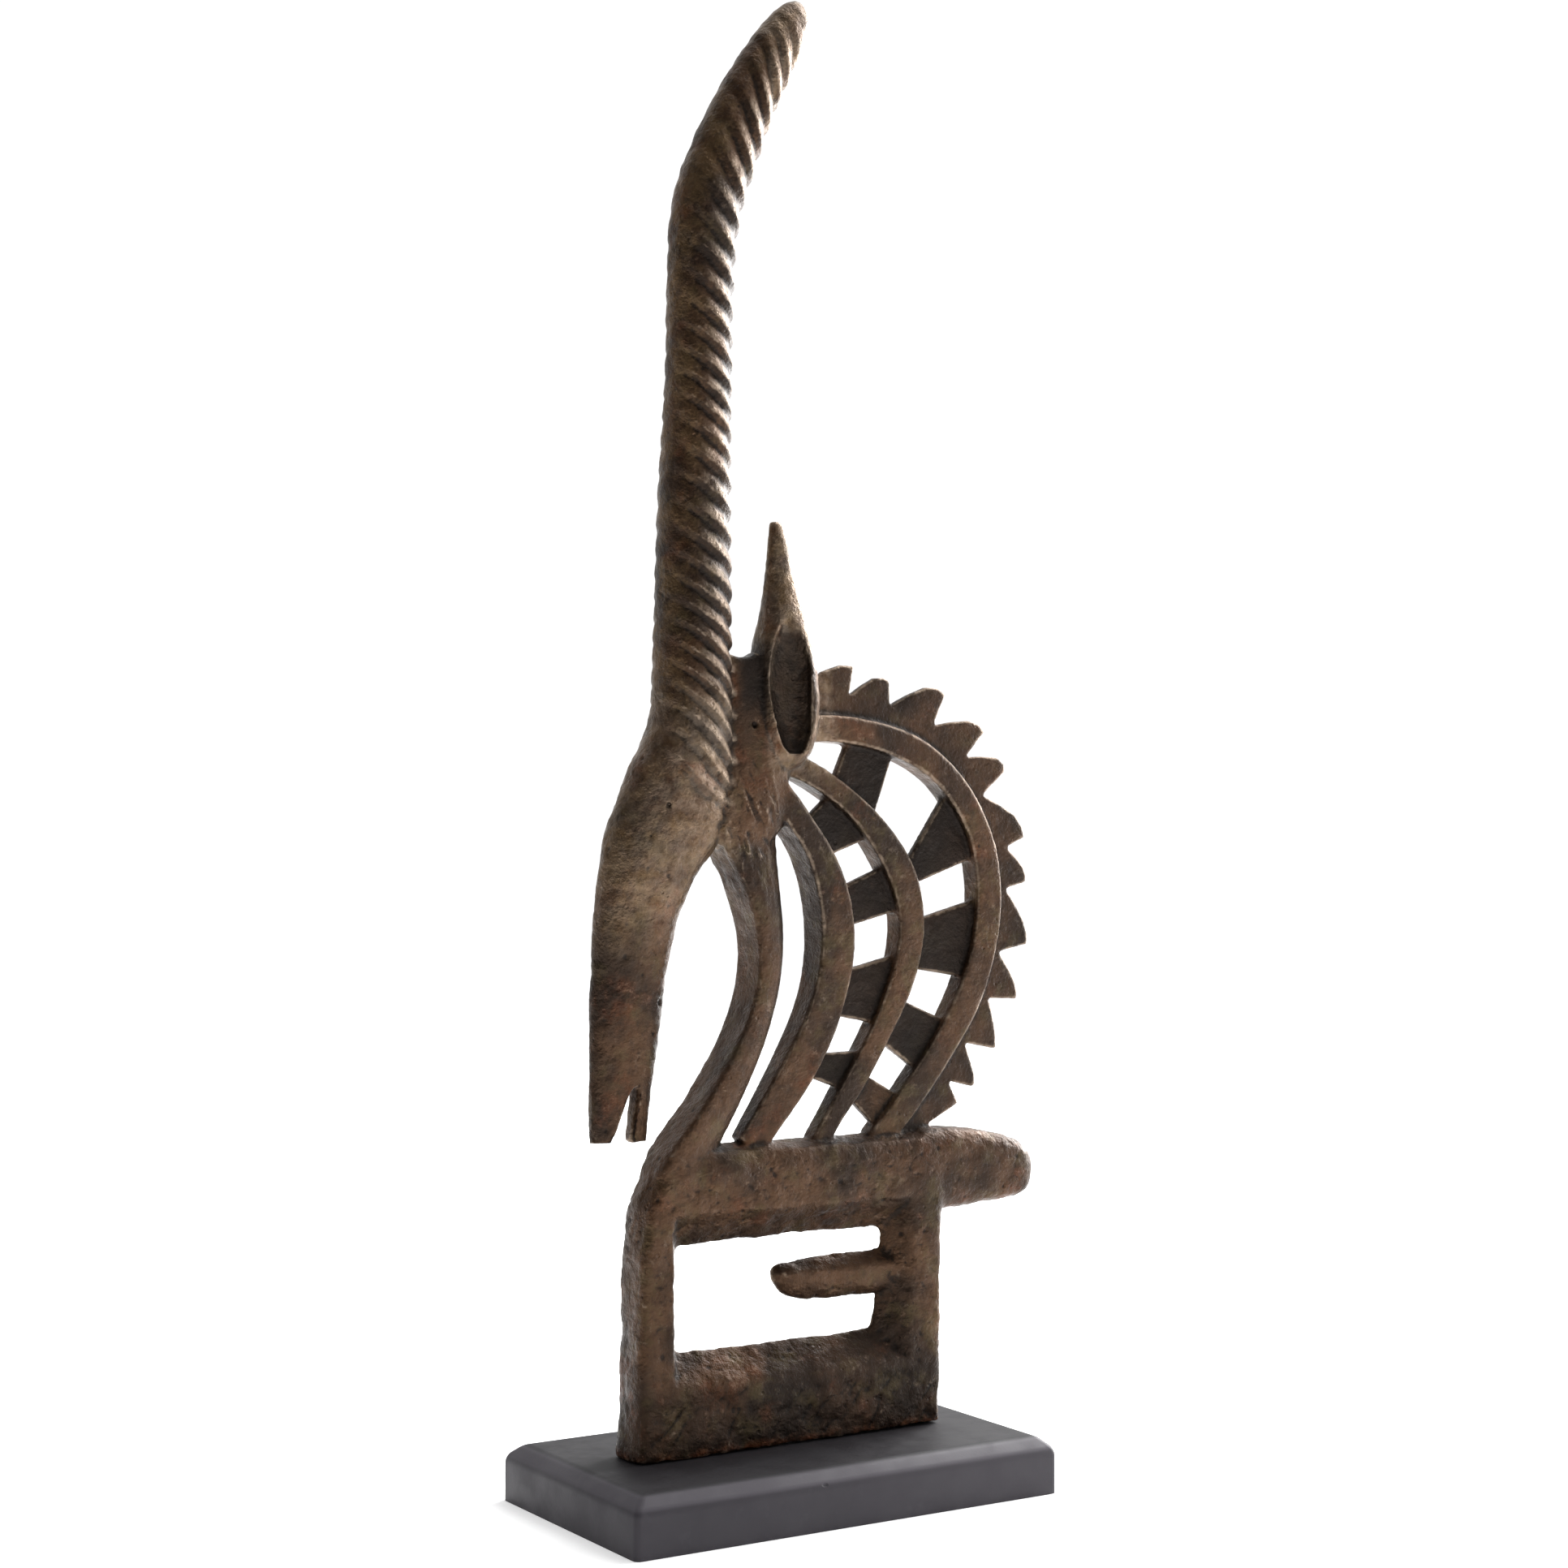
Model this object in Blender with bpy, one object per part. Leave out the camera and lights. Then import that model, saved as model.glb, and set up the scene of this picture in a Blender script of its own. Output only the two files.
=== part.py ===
"""Chiwara antelope: an open-work metal casting standing on a separate bevelled plinth.

The animal faces -X and stands on the plinth with its flat foot; +Z is up and Y = 0 is the plane
that the casting is symmetric about. The origin is the centre of the plinth's underside.
Run it with blender --background --python part.py, or from Blender's text editor.
"""

import math

import bmesh
import bpy
from mathutils import Vector

# Plinth, in metres
PLINTH_LENGTH = 0.2416
PLINTH_WIDTH = 0.136
PLINTH_THICKNESS = 0.0285
PLINTH_SIDE_HEIGHT = 0.0222
PLINTH_SIDE_DRAFT = 0.0005
PLINTH_BEVEL_RUN = 0.0072
PLINTH_CORNER_RADIUS = 0.0018
FOOT_GAP = 0.0003

# Casting, in metres: its height, and the thickness across Y of each flat part
FIGURE_HEIGHT = 0.7187
FRAME_THICKNESS = 0.0260
PRONG_THICKNESS = 0.0160
NECK_THICKNESS = 0.0240
INNER_RIB_THICKNESS = 0.0200
MIDDLE_RIB_THICKNESS = 0.0142
OUTER_RIB_THICKNESS = 0.0147
RIB_EDGE_CHAMFER = 0.0010
WEB_THICKNESS = 0.0050
RIB_FOOT_SHARE = 0.74
INNER_RIB_FOOT_SHARE = 0.54
RIB_THINS_FROM = 0.42
CREST_THICKNESS = 0.0044

# Carving, in metres
RIDGE_DEPTH = 0.0022
RIDGE_SLANT = 0.0280
EAR_CUP_DEPTH = 0.0095

# The figure is drawn in millimetres: x from the plinth's centre, z from the plinth's underside.
DRAWN_FOOT = 28.8
DRAWN_HEIGHT = 718.7
FIGURE_SCALE = FIGURE_HEIGHT / DRAWN_HEIGHT
FOOT_LEVEL = PLINTH_THICKNESS + FOOT_GAP

ROUND_SIDES = 16
POLL_SIDES = 12
CORNER_STEPS = 3

# The ridges start at this row of the head and grow over this length. Cut by hand, they are not
# even: these are their pitches in millimetres, at equal steps from the first ridge to the tip.
RIDGES_FROM = 8
RIDGE_RISE = 0.035
RIDGE_PITCHES = (16.6, 10.8, 10.7, 14.3, 10.8, 14.0, 16.3, 14.3, 9.4)
# Going up one ridge the surface is sunk by these shares of its depth. A ridge drops towards the
# back, by this share evenly and the rest mostly over the side, and it fades out over the front.
RIDGE_PROFILE = (0.0, 0.42, 1.0)
RIDGE_EVEN_DROP = 0.35
RIDGE_FRONT_SHARE = 0.08
RIDGE_FRONT_TURN = 0.5

# Head and muzzle from the nose up to the foot of the horn. Each row is one level:
# front x, front z, back x, back z, half thickness, squareness of the section.
HEAD_ROWS = (
    (-108.2, 183.0, -77.8, 182.4, 5.0, 2.3),
    (-108.5, 200.0, -75.8, 200.0, 5.6, 2.3),
    (-108.3, 225.0, -72.8, 225.0, 6.8, 2.3),
    (-107.8, 250.0, -69.0, 249.0, 8.2, 2.3),
    (-106.8, 271.0, -66.0, 269.0, 9.6, 2.3),
    (-105.5, 290.0, -62.0, 287.0, 11.0, 2.3),
    (-103.4, 306.0, -56.4, 301.0, 12.4, 2.3),
    (-101.0, 321.0, -48.4, 314.0, 13.8, 2.3),
    (-97.2, 336.0, -39.8, 325.0, 15.4, 2.3),
    (-91.2, 351.0, -33.8, 338.0, 16.9, 2.3),
    (-84.8, 365.0, -31.8, 352.0, 18.2, 2.2),
    (-77.4, 378.0, -31.6, 367.0, 19.0, 2.2),
    (-73.0, 391.0, -31.8, 382.0, 19.3, 2.1),
)

# Horn above the head, in the same rows.
HORN_ROWS = (
    (-71.8, 405.0, -31.8, 400.0, 19.2, 2.1),
    (-70.6, 430.0, -32.0, 428.0, 18.8, 2.1),
    (-69.6, 465.0, -32.2, 465.0, 18.4, 2.1),
    (-68.3, 500.0, -32.2, 500.0, 17.8, 2.1),
    (-65.6, 535.0, -31.8, 535.0, 17.0, 2.1),
    (-64.2, 570.0, -31.2, 570.0, 16.4, 2.1),
    (-63.5, 604.0, -30.2, 602.0, 16.3, 2.1),
    (-62.2, 630.0, -27.8, 625.0, 16.4, 2.1),
    (-58.6, 650.0, -24.6, 640.4, 16.2, 2.1),
    (-52.0, 666.4, -20.0, 652.6, 15.6, 2.1),
    (-44.2, 683.4, -14.0, 668.6, 14.8, 2.1),
    (-30.8, 706.4, -4.8, 691.2, 13.4, 2.1),
    (-16.6, 726.8, 5.6, 712.2, 12.0, 2.1),
    (-6.4, 738.6, 11.4, 726.0, 10.4, 2.1),
    (0.8, 745.0, 14.2, 734.0, 8.2, 2.1),
    (6.4, 747.6, 15.0, 740.2, 5.0, 2.1),
)
HORN_TIP = (11.6, 747.5)

# Neck from the poll down to the shoulder: throat x, throat z, back x, back z, thickness share.
NECK_ROWS = (
    (-48.0, 338.0, -4.0, 342.0, 1.05),
    (-39.2, 325.0, -5.0, 329.0, 1.02),
    (-30.2, 310.5, -4.0, 314.0, 1.0),
    (-24.8, 297.0, -2.4, 300.0, 1.0),
    (-20.6, 284.0, -1.2, 286.0, 1.0),
    (-19.2, 270.0, -1.4, 270.0, 1.0),
    (-20.8, 256.0, -3.8, 253.0, 1.0),
    (-25.4, 241.0, -8.8, 236.0, 1.0),
    (-33.8, 224.6, -16.4, 217.0, 1.0),
    (-48.2, 203.6, -27.4, 196.0, 1.02),
    (-60.2, 189.0, -37.0, 180.0, 1.05),
    (-69.4, 178.0, -47.0, 168.0, 1.06),
    (-76.4, 166.0, -58.0, 157.0, 1.0),
)

# Half of the neck's section, from its flat throat face round to its back, as shares of its half
# width and half thickness.
NECK_SECTION = ((-1.0, 0.9), (-0.88, 1.0), (-0.3, 1.0), (0.3, 0.88), (0.76, 0.6), (1.0, 0.22))

# Ribs from the head down into the back: inner x, z, outer x, z.
INNER_RIB_ROWS = (
    (-14.0, 351.0, -5.0, 360.0),
    (-6.0, 341.0, 6.0, 347.6),
    (2.0, 331.6, 14.6, 336.6),
    (8.8, 321.6, 22.6, 326.2),
    (13.8, 309.8, 30.2, 313.0),
    (17.4, 295.4, 36.0, 297.0),
    (18.8, 280.0, 38.3, 280.0),
    (17.8, 265.4, 37.4, 264.0),
    (14.4, 251.0, 33.4, 247.6),
    (9.2, 238.6, 27.6, 231.0),
    (2.8, 227.0, 20.2, 216.6),
    (-3.8, 216.0, 12.2, 204.0),
    (-11.2, 204.4, 3.4, 193.0),
    (-18.2, 194.0, -5.4, 182.4),
    (-27.0, 181.0, -15.0, 170.0),
)
MIDDLE_RIB_ROWS = (
    (-8.0, 364.0, -3.0, 373.0),
    (8.0, 357.2, 13.6, 367.8),
    (22.6, 349.6, 29.0, 359.4),
    (35.6, 340.4, 43.4, 349.6),
    (46.0, 329.8, 55.2, 340.0),
    (54.4, 318.4, 65.6, 329.2),
    (61.0, 307.2, 74.4, 317.0),
    (65.6, 295.8, 80.4, 303.0),
    (67.6, 283.6, 83.0, 286.0),
    (66.4, 272.0, 82.0, 272.0),
    (63.2, 260.0, 78.4, 258.4),
    (57.8, 246.6, 72.2, 243.8),
    (51.2, 233.0, 64.0, 229.6),
    (43.4, 220.4, 54.4, 213.8),
    (33.2, 205.0, 44.2, 198.8),
    (22.8, 189.2, 33.8, 186.6),
    (13.4, 175.6, 23.0, 170.0),
)
OUTER_RIB_ROWS = (
    (0.0, 377.0, 2.0, 389.6),
    (16.0, 376.8, 18.0, 390.4),
    (34.0, 376.2, 34.6, 390.0),
    (50.8, 373.6, 52.4, 387.6),
    (65.6, 369.0, 69.0, 383.6),
    (79.6, 363.0, 85.0, 376.8),
    (92.2, 354.2, 99.2, 366.8),
    (102.6, 342.2, 111.4, 354.4),
    (110.4, 329.0, 121.0, 339.6),
    (114.6, 315.0, 128.0, 323.4),
    (116.3, 300.0, 131.6, 304.4),
    (115.6, 286.0, 131.4, 286.0),
    (113.2, 271.6, 128.6, 270.0),
    (108.2, 257.6, 123.2, 252.0),
    (101.6, 244.4, 115.6, 236.0),
    (93.4, 230.8, 105.4, 221.2),
    (83.4, 217.2, 94.8, 207.2),
    (73.4, 205.4, 84.4, 194.6),
    (63.4, 193.4, 73.4, 182.4),
    (50.0, 179.0, 59.0, 168.0),
)

# Webs between the ribs: upper edge from the inner rib to the outer one, then the lower edge.
INNER_WEBS = (
    ((10.0, 335.0), (36.0, 358.0), (20.0, 317.0), (58.0, 330.6)),
    ((26.0, 300.2), (74.0, 319.0), (28.0, 281.0), (74.0, 292.2)),
    ((28.0, 259.6), (74.0, 269.8), (24.0, 240.2), (64.0, 232.2)),
    ((16.0, 220.0), (50.0, 220.4), (12.0, 210.0), (42.0, 198.6)),
)
OUTER_WEBS = (
    ((28.0, 354.0), (42.4, 386.0), (51.0, 330.0), (71.0, 385.0)),
    ((71.4, 311.0), (105.6, 360.0), (73.0, 302.2), (122.0, 319.0)),
    ((76.0, 284.8), (124.0, 297.2), (74.0, 261.6), (120.0, 254.0)),
    ((68.0, 246.8), (104.0, 231.4), (52.0, 229.4), (84.0, 206.2)),
    ((44.0, 211.2), (74.0, 193.8), (38.0, 198.0), (60.0, 176.4)),
)

# Crest: each tooth's tip and the notch behind it, as an angle in degrees clockwise from up and a
# reach, both from the centre of the outer rib's round, and how much the tooth's back swells as a
# share of its rise. The swell leans towards the tip.
CREST_CENTRE = (38.0, 297.0)
CREST_START = (-22.0, 101.0)
CREST_ROOT = ((85.0, 171.0), (62.0, 171.0))
CREST_TEETH = (
    ((2.0, 118.6), (0.6, 103.0), 0.24),
    ((13.2, 114.0), (15.0, 102.2), 0.36),
    ((30.1, 121.2), (31.0, 103.6), 0.27),
    ((45.0, 121.4), (45.4, 103.6), 0.24),
    ((56.6, 118.6), (58.0, 99.6), 0.38),
    ((74.7, 115.8), (75.6, 103.2), 0.26),
    ((86.4, 113.0), (87.7, 99.4), 0.28),
    ((102.6, 116.6), (107.0, 99.2), 0.12),
    ((117.0, 119.4), (121.0, 103.0), 0.15),
    ((130.6, 122.6), (136.0, 105.0), 0.04),
    ((141.6, 126.0), (146.6, 113.4), 0.22),
    ((147.2, 127.2), (156.4, 126.6), 0.08),
)
CREST_SWELL_LEAN = 1.6
CREST_TOOTH_SHARES = (0.0, 0.32, 0.62, 0.84)
# The plate's inner edge is buried in the outer rib, whose round opens out towards its foot.
CREST_INNER_REACH = 87.0
CREST_INNER_END = 152.0
CREST_INNER_STEPS = 14
CREST_SPREADS_FROM = 110.0
CREST_SPREAD = 15.0

# Ear: front x, back x, z, half thickness, squareness of the section.
EAR_ROWS = (
    (-6.0, 3.0, 362.6, 8.0, 2.2),
    (-9.6, 8.6, 365.6, 11.6, 2.6),
    (-12.8, 13.4, 371.0, 13.8, 3.0),
    (-14.8, 15.9, 379.0, 14.8, 3.3),
    (-16.0, 17.2, 389.0, 15.2, 3.4),
    (-16.4, 17.6, 400.0, 15.2, 3.4),
    (-16.0, 16.8, 412.0, 14.8, 3.2),
    (-14.4, 15.0, 424.0, 13.2, 2.8),
    (-12.0, 12.6, 436.0, 10.6, 2.3),
    (-10.0, 9.2, 450.0, 7.8, 2.1),
    (-8.6, 5.4, 465.0, 5.4, 2.0),
    (-7.6, 2.6, 478.0, 3.8, 2.0),
    (-6.6, -0.6, 486.4, 2.6, 2.0),
)
# Cup in the ear's side: half width at each height, around a line leaning with the ear.
EAR_CUP_ROWS = (
    (0.4, 370.8, 3.6),
    (0.0, 374.6, 6.8),
    (-0.6, 382.0, 9.2),
    (-1.6, 392.0, 10.5),
    (-2.2, 403.0, 11.3),
    (-2.2, 414.0, 11.1),
    (-2.4, 424.0, 9.3),
    (-2.8, 432.0, 6.4),
    (-3.8, 439.4, 1.4),
)

# Down the cup: its outline's share of full size, and the share of the depth still to go. The
# outline shrinks more in width than in height.
EAR_CUP_LEVELS = ((1.0, 0.55), (0.72, 0.12), (0.4, 0.0))
EAR_CUP_WIDEST = 4
EAR_CUP_HEIGHT_KEPT = 0.3
EAR_WIDEST = 5
EAR_CUTTER_REACH = 0.018

# Poll behind the horn, that the ear, the neck and the ribs grow from: as the ear's rows.
POLL_ROWS = (
    (-48.0, -10.0, 326.0, 11.4, 3.0),
    (-54.0, -2.0, 334.0, 12.6, 3.0),
    (-52.0, 1.0, 344.0, 13.0, 3.0),
    (-48.0, 1.6, 354.0, 12.4, 3.0),
    (-44.0, 3.4, 366.0, 11.0, 3.0),
    (-42.0, 6.0, 380.0, 9.6, 3.0),
    (-40.0, 4.0, 396.0, 8.4, 3.0),
    (-38.0, -1.0, 410.0, 7.2, 3.0),
    (-36.0, -7.0, 418.4, 5.6, 2.6),
)

# Frame: the window's edge on each face, the ridge inside it at mid-thickness, and the outer faces.
# Each is its left x at the foot and at the top, its right x at the foot and at the top, low, high.
WINDOW_EDGE = (-69.0, -69.0, 69.2, 72.8, 63.6, 147.0)
WINDOW_RIDGE = (-62.0, -62.0, 53.8, 58.8, 79.0, 129.8)
FRAME_FACE = (-86.0, -84.4, 86.6, 88.2, DRAWN_FOOT, 167.6)
FRAME_SHOULDER = (-88.4, -85.8, 88.8, 90.4, DRAWN_FOOT, 174.8)
FRAME_CROWN = (-89.3, -86.2, 89.7, 91.2, DRAWN_FOOT, 178.8)
FRAME_SHOULDER_SHARE = 0.84
SHOULDER_ROUND = (24.0, 52.0)
RUMP_ROUND = (9.0, 12.0)
FOOT_ROUND = (1.6, 1.2)
WINDOW_EDGE_ROUND = (1.6, 1.6)
WINDOW_RIDGE_ROUND = (3.0, 3.0)

# Prong: x, ridge z, edge z, underside z, half width share. Below its edge the side turns in to the
# bilge, this far down and this wide, and on to the narrow underside.
PRONG_BILGE_DROP = 0.62
PRONG_BILGE_WIDTH = 0.8
PRONG_UNDER_WIDTH = 0.3
PRONG_ROWS = (
    (68.0, 120.0, 111.6, 97.0, 1.0),
    (48.0, 119.4, 111.8, 96.6, 1.0),
    (28.0, 118.6, 112.0, 96.2, 0.98),
    (13.0, 118.0, 112.2, 97.0, 0.92),
    (4.0, 117.6, 112.4, 99.2, 0.8),
    (-2.2, 117.0, 112.6, 102.6, 0.6),
    (-6.4, 115.4, 112.4, 108.0, 0.3),
)

# Tail: x, top z, bottom z, half thickness share of the frame's, squareness.
TAIL_ROWS = (
    (80.0, 179.0, 136.2, 0.94, 3.4),
    (98.0, 179.0, 136.4, 0.92, 3.4),
    (116.0, 176.8, 137.0, 0.9, 3.4),
    (132.0, 173.0, 137.6, 0.86, 3.4),
    (142.5, 169.8, 138.8, 0.8, 3.2),
    (149.0, 166.4, 141.6, 0.66, 2.8),
    (152.0, 161.6, 146.6, 0.4, 2.4),
)

# Mouth cut up into the muzzle from its flat end, right through its thickness.
MOUTH_CUTTER_THICKNESS = 0.060
MOUTH_OUTLINE = (
    (-100.0, 176.0), (-97.9, 183.0), (-91.2, 201.6), (-88.8, 208.0), (-86.4, 211.0),
    (-84.6, 209.0), (-84.8, 204.0), (-86.4, 196.0), (-88.0, 183.0), (-88.6, 176.0),
)

CASTING_COLOUR = (0.110, 0.068, 0.043, 1.0)
CASTING_ROUGHNESS = 0.55
CASTING_METALLIC = 0.6
PLINTH_COLOUR = (0.050, 0.049, 0.055, 1.0)
PLINTH_ROUGHNESS = 0.5
SMOOTH_ANGLE = 40.0


def clear_scene():
    """Remove whatever the scene holds."""
    for old in list(bpy.data.objects):
        bpy.data.objects.remove(old, do_unlink=True)


def material(name, colour, roughness, metallic):
    """Principled material of one plain finish."""
    finish = bpy.data.materials.new(name)
    finish.use_nodes = True
    shader = finish.node_tree.nodes["Principled BSDF"]
    shader.inputs["Base Color"].default_value = colour
    shader.inputs["Roughness"].default_value = roughness
    shader.inputs["Metallic"].default_value = metallic
    return finish


def drawn(x, z, y=0.0):
    """Point of the figure's drawing as a place in the model; y is already in metres."""
    return Vector((x * FIGURE_SCALE, y, FOOT_LEVEL + (z - DRAWN_FOOT) * FIGURE_SCALE))


def smooth_row(rows, position):
    """Row read off a smooth curve through the rows; whole positions are the rows themselves."""
    last = len(rows) - 1
    index = min(int(position), last - 1)
    t = position - index
    before = rows[max(index - 1, 0)]
    after = rows[min(index + 2, last)]
    return [
        0.5 * (2 * b + (c - a) * t + (2 * a - 5 * b + 4 * c - d) * t * t + (3 * b - a - 3 * c + d) * t ** 3)
        for a, b, c, d in zip(before, rows[index], rows[index + 1], after)
    ]


def smooth_rows(rows, steps):
    """Rows at even steps, the given number to each stretch between two rows."""
    return [smooth_row(rows, k / steps) for k in range((len(rows) - 1) * steps + 1)]


def rounded(angle, squareness):
    """Point of a unit section that goes from round (2) towards square as squareness grows."""
    power = 2.0 / squareness
    across = math.copysign(abs(math.cos(angle)) ** power, math.cos(angle))
    along = math.copysign(abs(math.sin(angle)) ** power, math.sin(angle))
    return across, along


def closed_mesh(name, points, faces):
    """Object from points and faces that close one body, with its faces turned outwards."""
    mesh = bpy.data.meshes.new(name)
    mesh.from_pydata([tuple(p) for p in points], [], faces)
    shell = bmesh.new()
    shell.from_mesh(mesh)
    bmesh.ops.recalc_face_normals(shell, faces=shell.faces)
    shell.to_mesh(mesh)
    shell.free()
    body = bpy.data.objects.new(name, mesh)
    bpy.context.scene.collection.objects.link(body)
    return body


def loft(name, rings, tip=None, closed=False):
    """Body through rings of points, capped at both ends, or run to a tip, or joined into a loop."""
    sides = len(rings[0])
    count = len(rings)
    points = [p for ring in rings for p in ring]
    faces = []
    for k in range(count if closed else count - 1):
        here = k * sides
        there = (k + 1) % count * sides
        for j in range(sides):
            n = (j + 1) % sides
            faces.append((here + j, here + n, there + n, there + j))
    if not closed:
        faces.append(tuple(range(sides)))
        top = (count - 1) * sides
        if tip is None:
            faces.append(tuple(range(top, top + sides)))
        else:
            points.append(tip)
            faces += [(top + j, top + (j + 1) % sides, len(points) - 1) for j in range(sides)]
    return closed_mesh(name, points, faces)


def limb_ring(row, half_thickness, sides=ROUND_SIDES):
    """Ring of a limb between its front and back points, of the given half thickness."""
    front_x, front_z, back_x, back_z = row[:4]
    ring = []
    for k in range(sides):
        across, along = rounded(2 * math.pi * (k + 0.5) / sides, row[5])
        x = (front_x + back_x) / 2 - (back_x - front_x) / 2 * across
        z = (front_z + back_z) / 2 - (back_z - front_z) / 2 * across
        ring.append(drawn(x, z, half_thickness * along))
    return ring


def level_ring(row, sides=ROUND_SIDES):
    """Ring of the ear or the poll at one level."""
    front_x, back_x, z, half, squareness = row
    return limb_ring((front_x, z, back_x, z, half, squareness), half * FIGURE_SCALE, sides)


def prism(name, outline, thickness, y=0.0):
    """Plate of the given thickness cut to a drawn outline."""
    near = [drawn(x, z, y - thickness / 2) for x, z in outline]
    far = [drawn(x, z, y + thickness / 2) for x, z in outline]
    return loft(name, [near, far])


def combine(body, tool, operation="UNION"):
    """Join the tool to the body, or cut it from the body, and remove the tool."""
    cut = body.modifiers.new(operation.title(), "BOOLEAN")
    cut.operation = operation
    cut.solver = "EXACT"
    cut.object = tool
    graph = bpy.context.evaluated_depsgraph_get()
    joined = bpy.data.meshes.new_from_object(body.evaluated_get(graph))
    body.modifiers.clear()
    old = body.data
    body.data = joined
    bpy.data.meshes.remove(old)
    bpy.data.objects.remove(tool, do_unlink=True)
    return body


def axis_lengths(rows):
    """Length along the middle of a limb at each of its rows, in metres."""
    lengths = [0.0]
    for a, b in zip(rows, rows[1:]):
        here = drawn((a[0] + a[2]) / 2, (a[1] + a[3]) / 2)
        there = drawn((b[0] + b[2]) / 2, (b[1] + b[3]) / 2)
        lengths.append(lengths[-1] + (there - here).length)
    return lengths


def row_at(rows, lengths, along):
    """Row of a limb at a length along its middle."""
    along = min(max(along, 0.0), lengths[-1])
    index = max(k for k in range(len(lengths) - 1) if lengths[k] <= along)
    return smooth_row(rows, index + (along - lengths[index]) / (lengths[index + 1] - lengths[index]))


def eased(share):
    """Smooth rise from 0 to 1 as the share goes from 0 to 1."""
    share = min(max(share, 0.0), 1.0)
    return share * share * (3 - 2 * share)


def ridge_lines(start, end):
    """Lengths up the horn where its rings lie, so many to each ridge, from start to end."""
    lines = []
    along = start
    while along < end:
        position = (along - start) / (end - start) * (len(RIDGE_PITCHES) - 1)
        index = int(position)
        low = RIDGE_PITCHES[index]
        high = RIDGE_PITCHES[index + 1]
        along += (low + (high - low) * (position - index)) * FIGURE_SCALE / len(RIDGE_PROFILE)
        lines.append(min(along, end))
    return lines


def ridged_ring(rows, lengths, along, step):
    """Ring that follows one line of the ridges: high in front, low behind, sunk in a groove."""
    end = lengths[-1]
    start = lengths[RIDGES_FROM]
    strength = eased((along - start) / RIDGE_RISE) * eased((end - along) / RIDGE_RISE)
    groove = RIDGE_PROFILE[step % len(RIDGE_PROFILE)] * RIDGE_DEPTH * strength
    ring = []
    for k in range(ROUND_SIDES):
        angle = 2 * math.pi * (k + 0.5) / ROUND_SIDES
        turn = abs(math.atan2(math.sin(angle), math.cos(angle))) / math.pi
        drop = RIDGE_EVEN_DROP * turn + (1 - RIDGE_EVEN_DROP) * eased(turn)
        row = row_at(rows, lengths, along + RIDGE_SLANT * strength * (0.5 - drop))
        front = drawn(row[0], row[1])
        back = drawn(row[2], row[3])
        across, aside = rounded(angle, row[5])
        outward = (front - back) / 2 * across + Vector((0, row[4] * FIGURE_SCALE * aside, 0))
        fade = RIDGE_FRONT_SHARE + (1 - RIDGE_FRONT_SHARE) * eased(turn / RIDGE_FRONT_TURN)
        sunk = outward.length - groove * fade
        ring.append((front + back) / 2 + outward.normalized() * sunk)
    return ring


def head_and_horn():
    """Muzzle, brow and horn as one body, with the horn's slanting ridges."""
    rows = HEAD_ROWS + HORN_ROWS
    lengths = axis_lengths(rows)
    rings = [limb_ring(row, row[4] * FIGURE_SCALE) for row in rows[:RIDGES_FROM + 1]]
    for step, along in enumerate(ridge_lines(lengths[RIDGES_FROM], lengths[-1])):
        rings.append(ridged_ring(rows, lengths, along, step + 1))
    return loft("head_and_horn", rings, tip=drawn(*HORN_TIP))


def neck():
    """S-curved band from the poll down to the shoulder, flat in front and round behind."""
    rings = []
    for throat_x, throat_z, back_x, back_z, share in smooth_rows(NECK_ROWS, 2):
        throat = drawn(throat_x, throat_z)
        back = drawn(back_x, back_z)
        near = []
        far = []
        for across, along in NECK_SECTION:
            centre = throat.lerp(back, (1 + across) / 2)
            aside = Vector((0, along * share * NECK_THICKNESS / 2, 0))
            near.append(centre - aside)
            far.append(centre + aside)
        rings.append(near + far[::-1])
    return loft("neck", rings)


def rib(name, rows, thickness, foot_share=RIB_FOOT_SHARE):
    """Curved band with slightly broken edges, thinner across towards its foot."""
    rings = []
    stations = smooth_rows(rows, 2)
    for k, (inner_x, inner_z, outer_x, outer_z) in enumerate(stations):
        foot = max(0.0, k / (len(stations) - 1) - RIB_THINS_FROM) / (1 - RIB_THINS_FROM)
        half = thickness / 2 * (1 - (1 - foot_share) * foot)
        inner = drawn(inner_x, inner_z)
        outer = drawn(outer_x, outer_z)
        inset = (outer - inner).normalized() * RIB_EDGE_CHAMFER
        step = Vector((0, half, 0))
        low = Vector((0, half - RIB_EDGE_CHAMFER, 0))
        rings.append([
            inner - low, inner + inset - step, outer - inset - step, outer - low,
            outer + low, outer - inset + step, inner + inset + step, inner + low,
        ])
    return loft(name, rings)


def web(name, corners):
    """Thin plate between two ribs."""
    upper_in, upper_out, lower_in, lower_out = corners
    return prism(name, (upper_in, upper_out, lower_out, lower_in), WEB_THICKNESS)


def crest_point(angle, reach):
    """Point of the crest at an angle clockwise from up and a reach from the round's centre."""
    turn = math.radians(angle)
    return (CREST_CENTRE[0] + reach * math.sin(turn), CREST_CENTRE[1] + reach * math.cos(turn))


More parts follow.
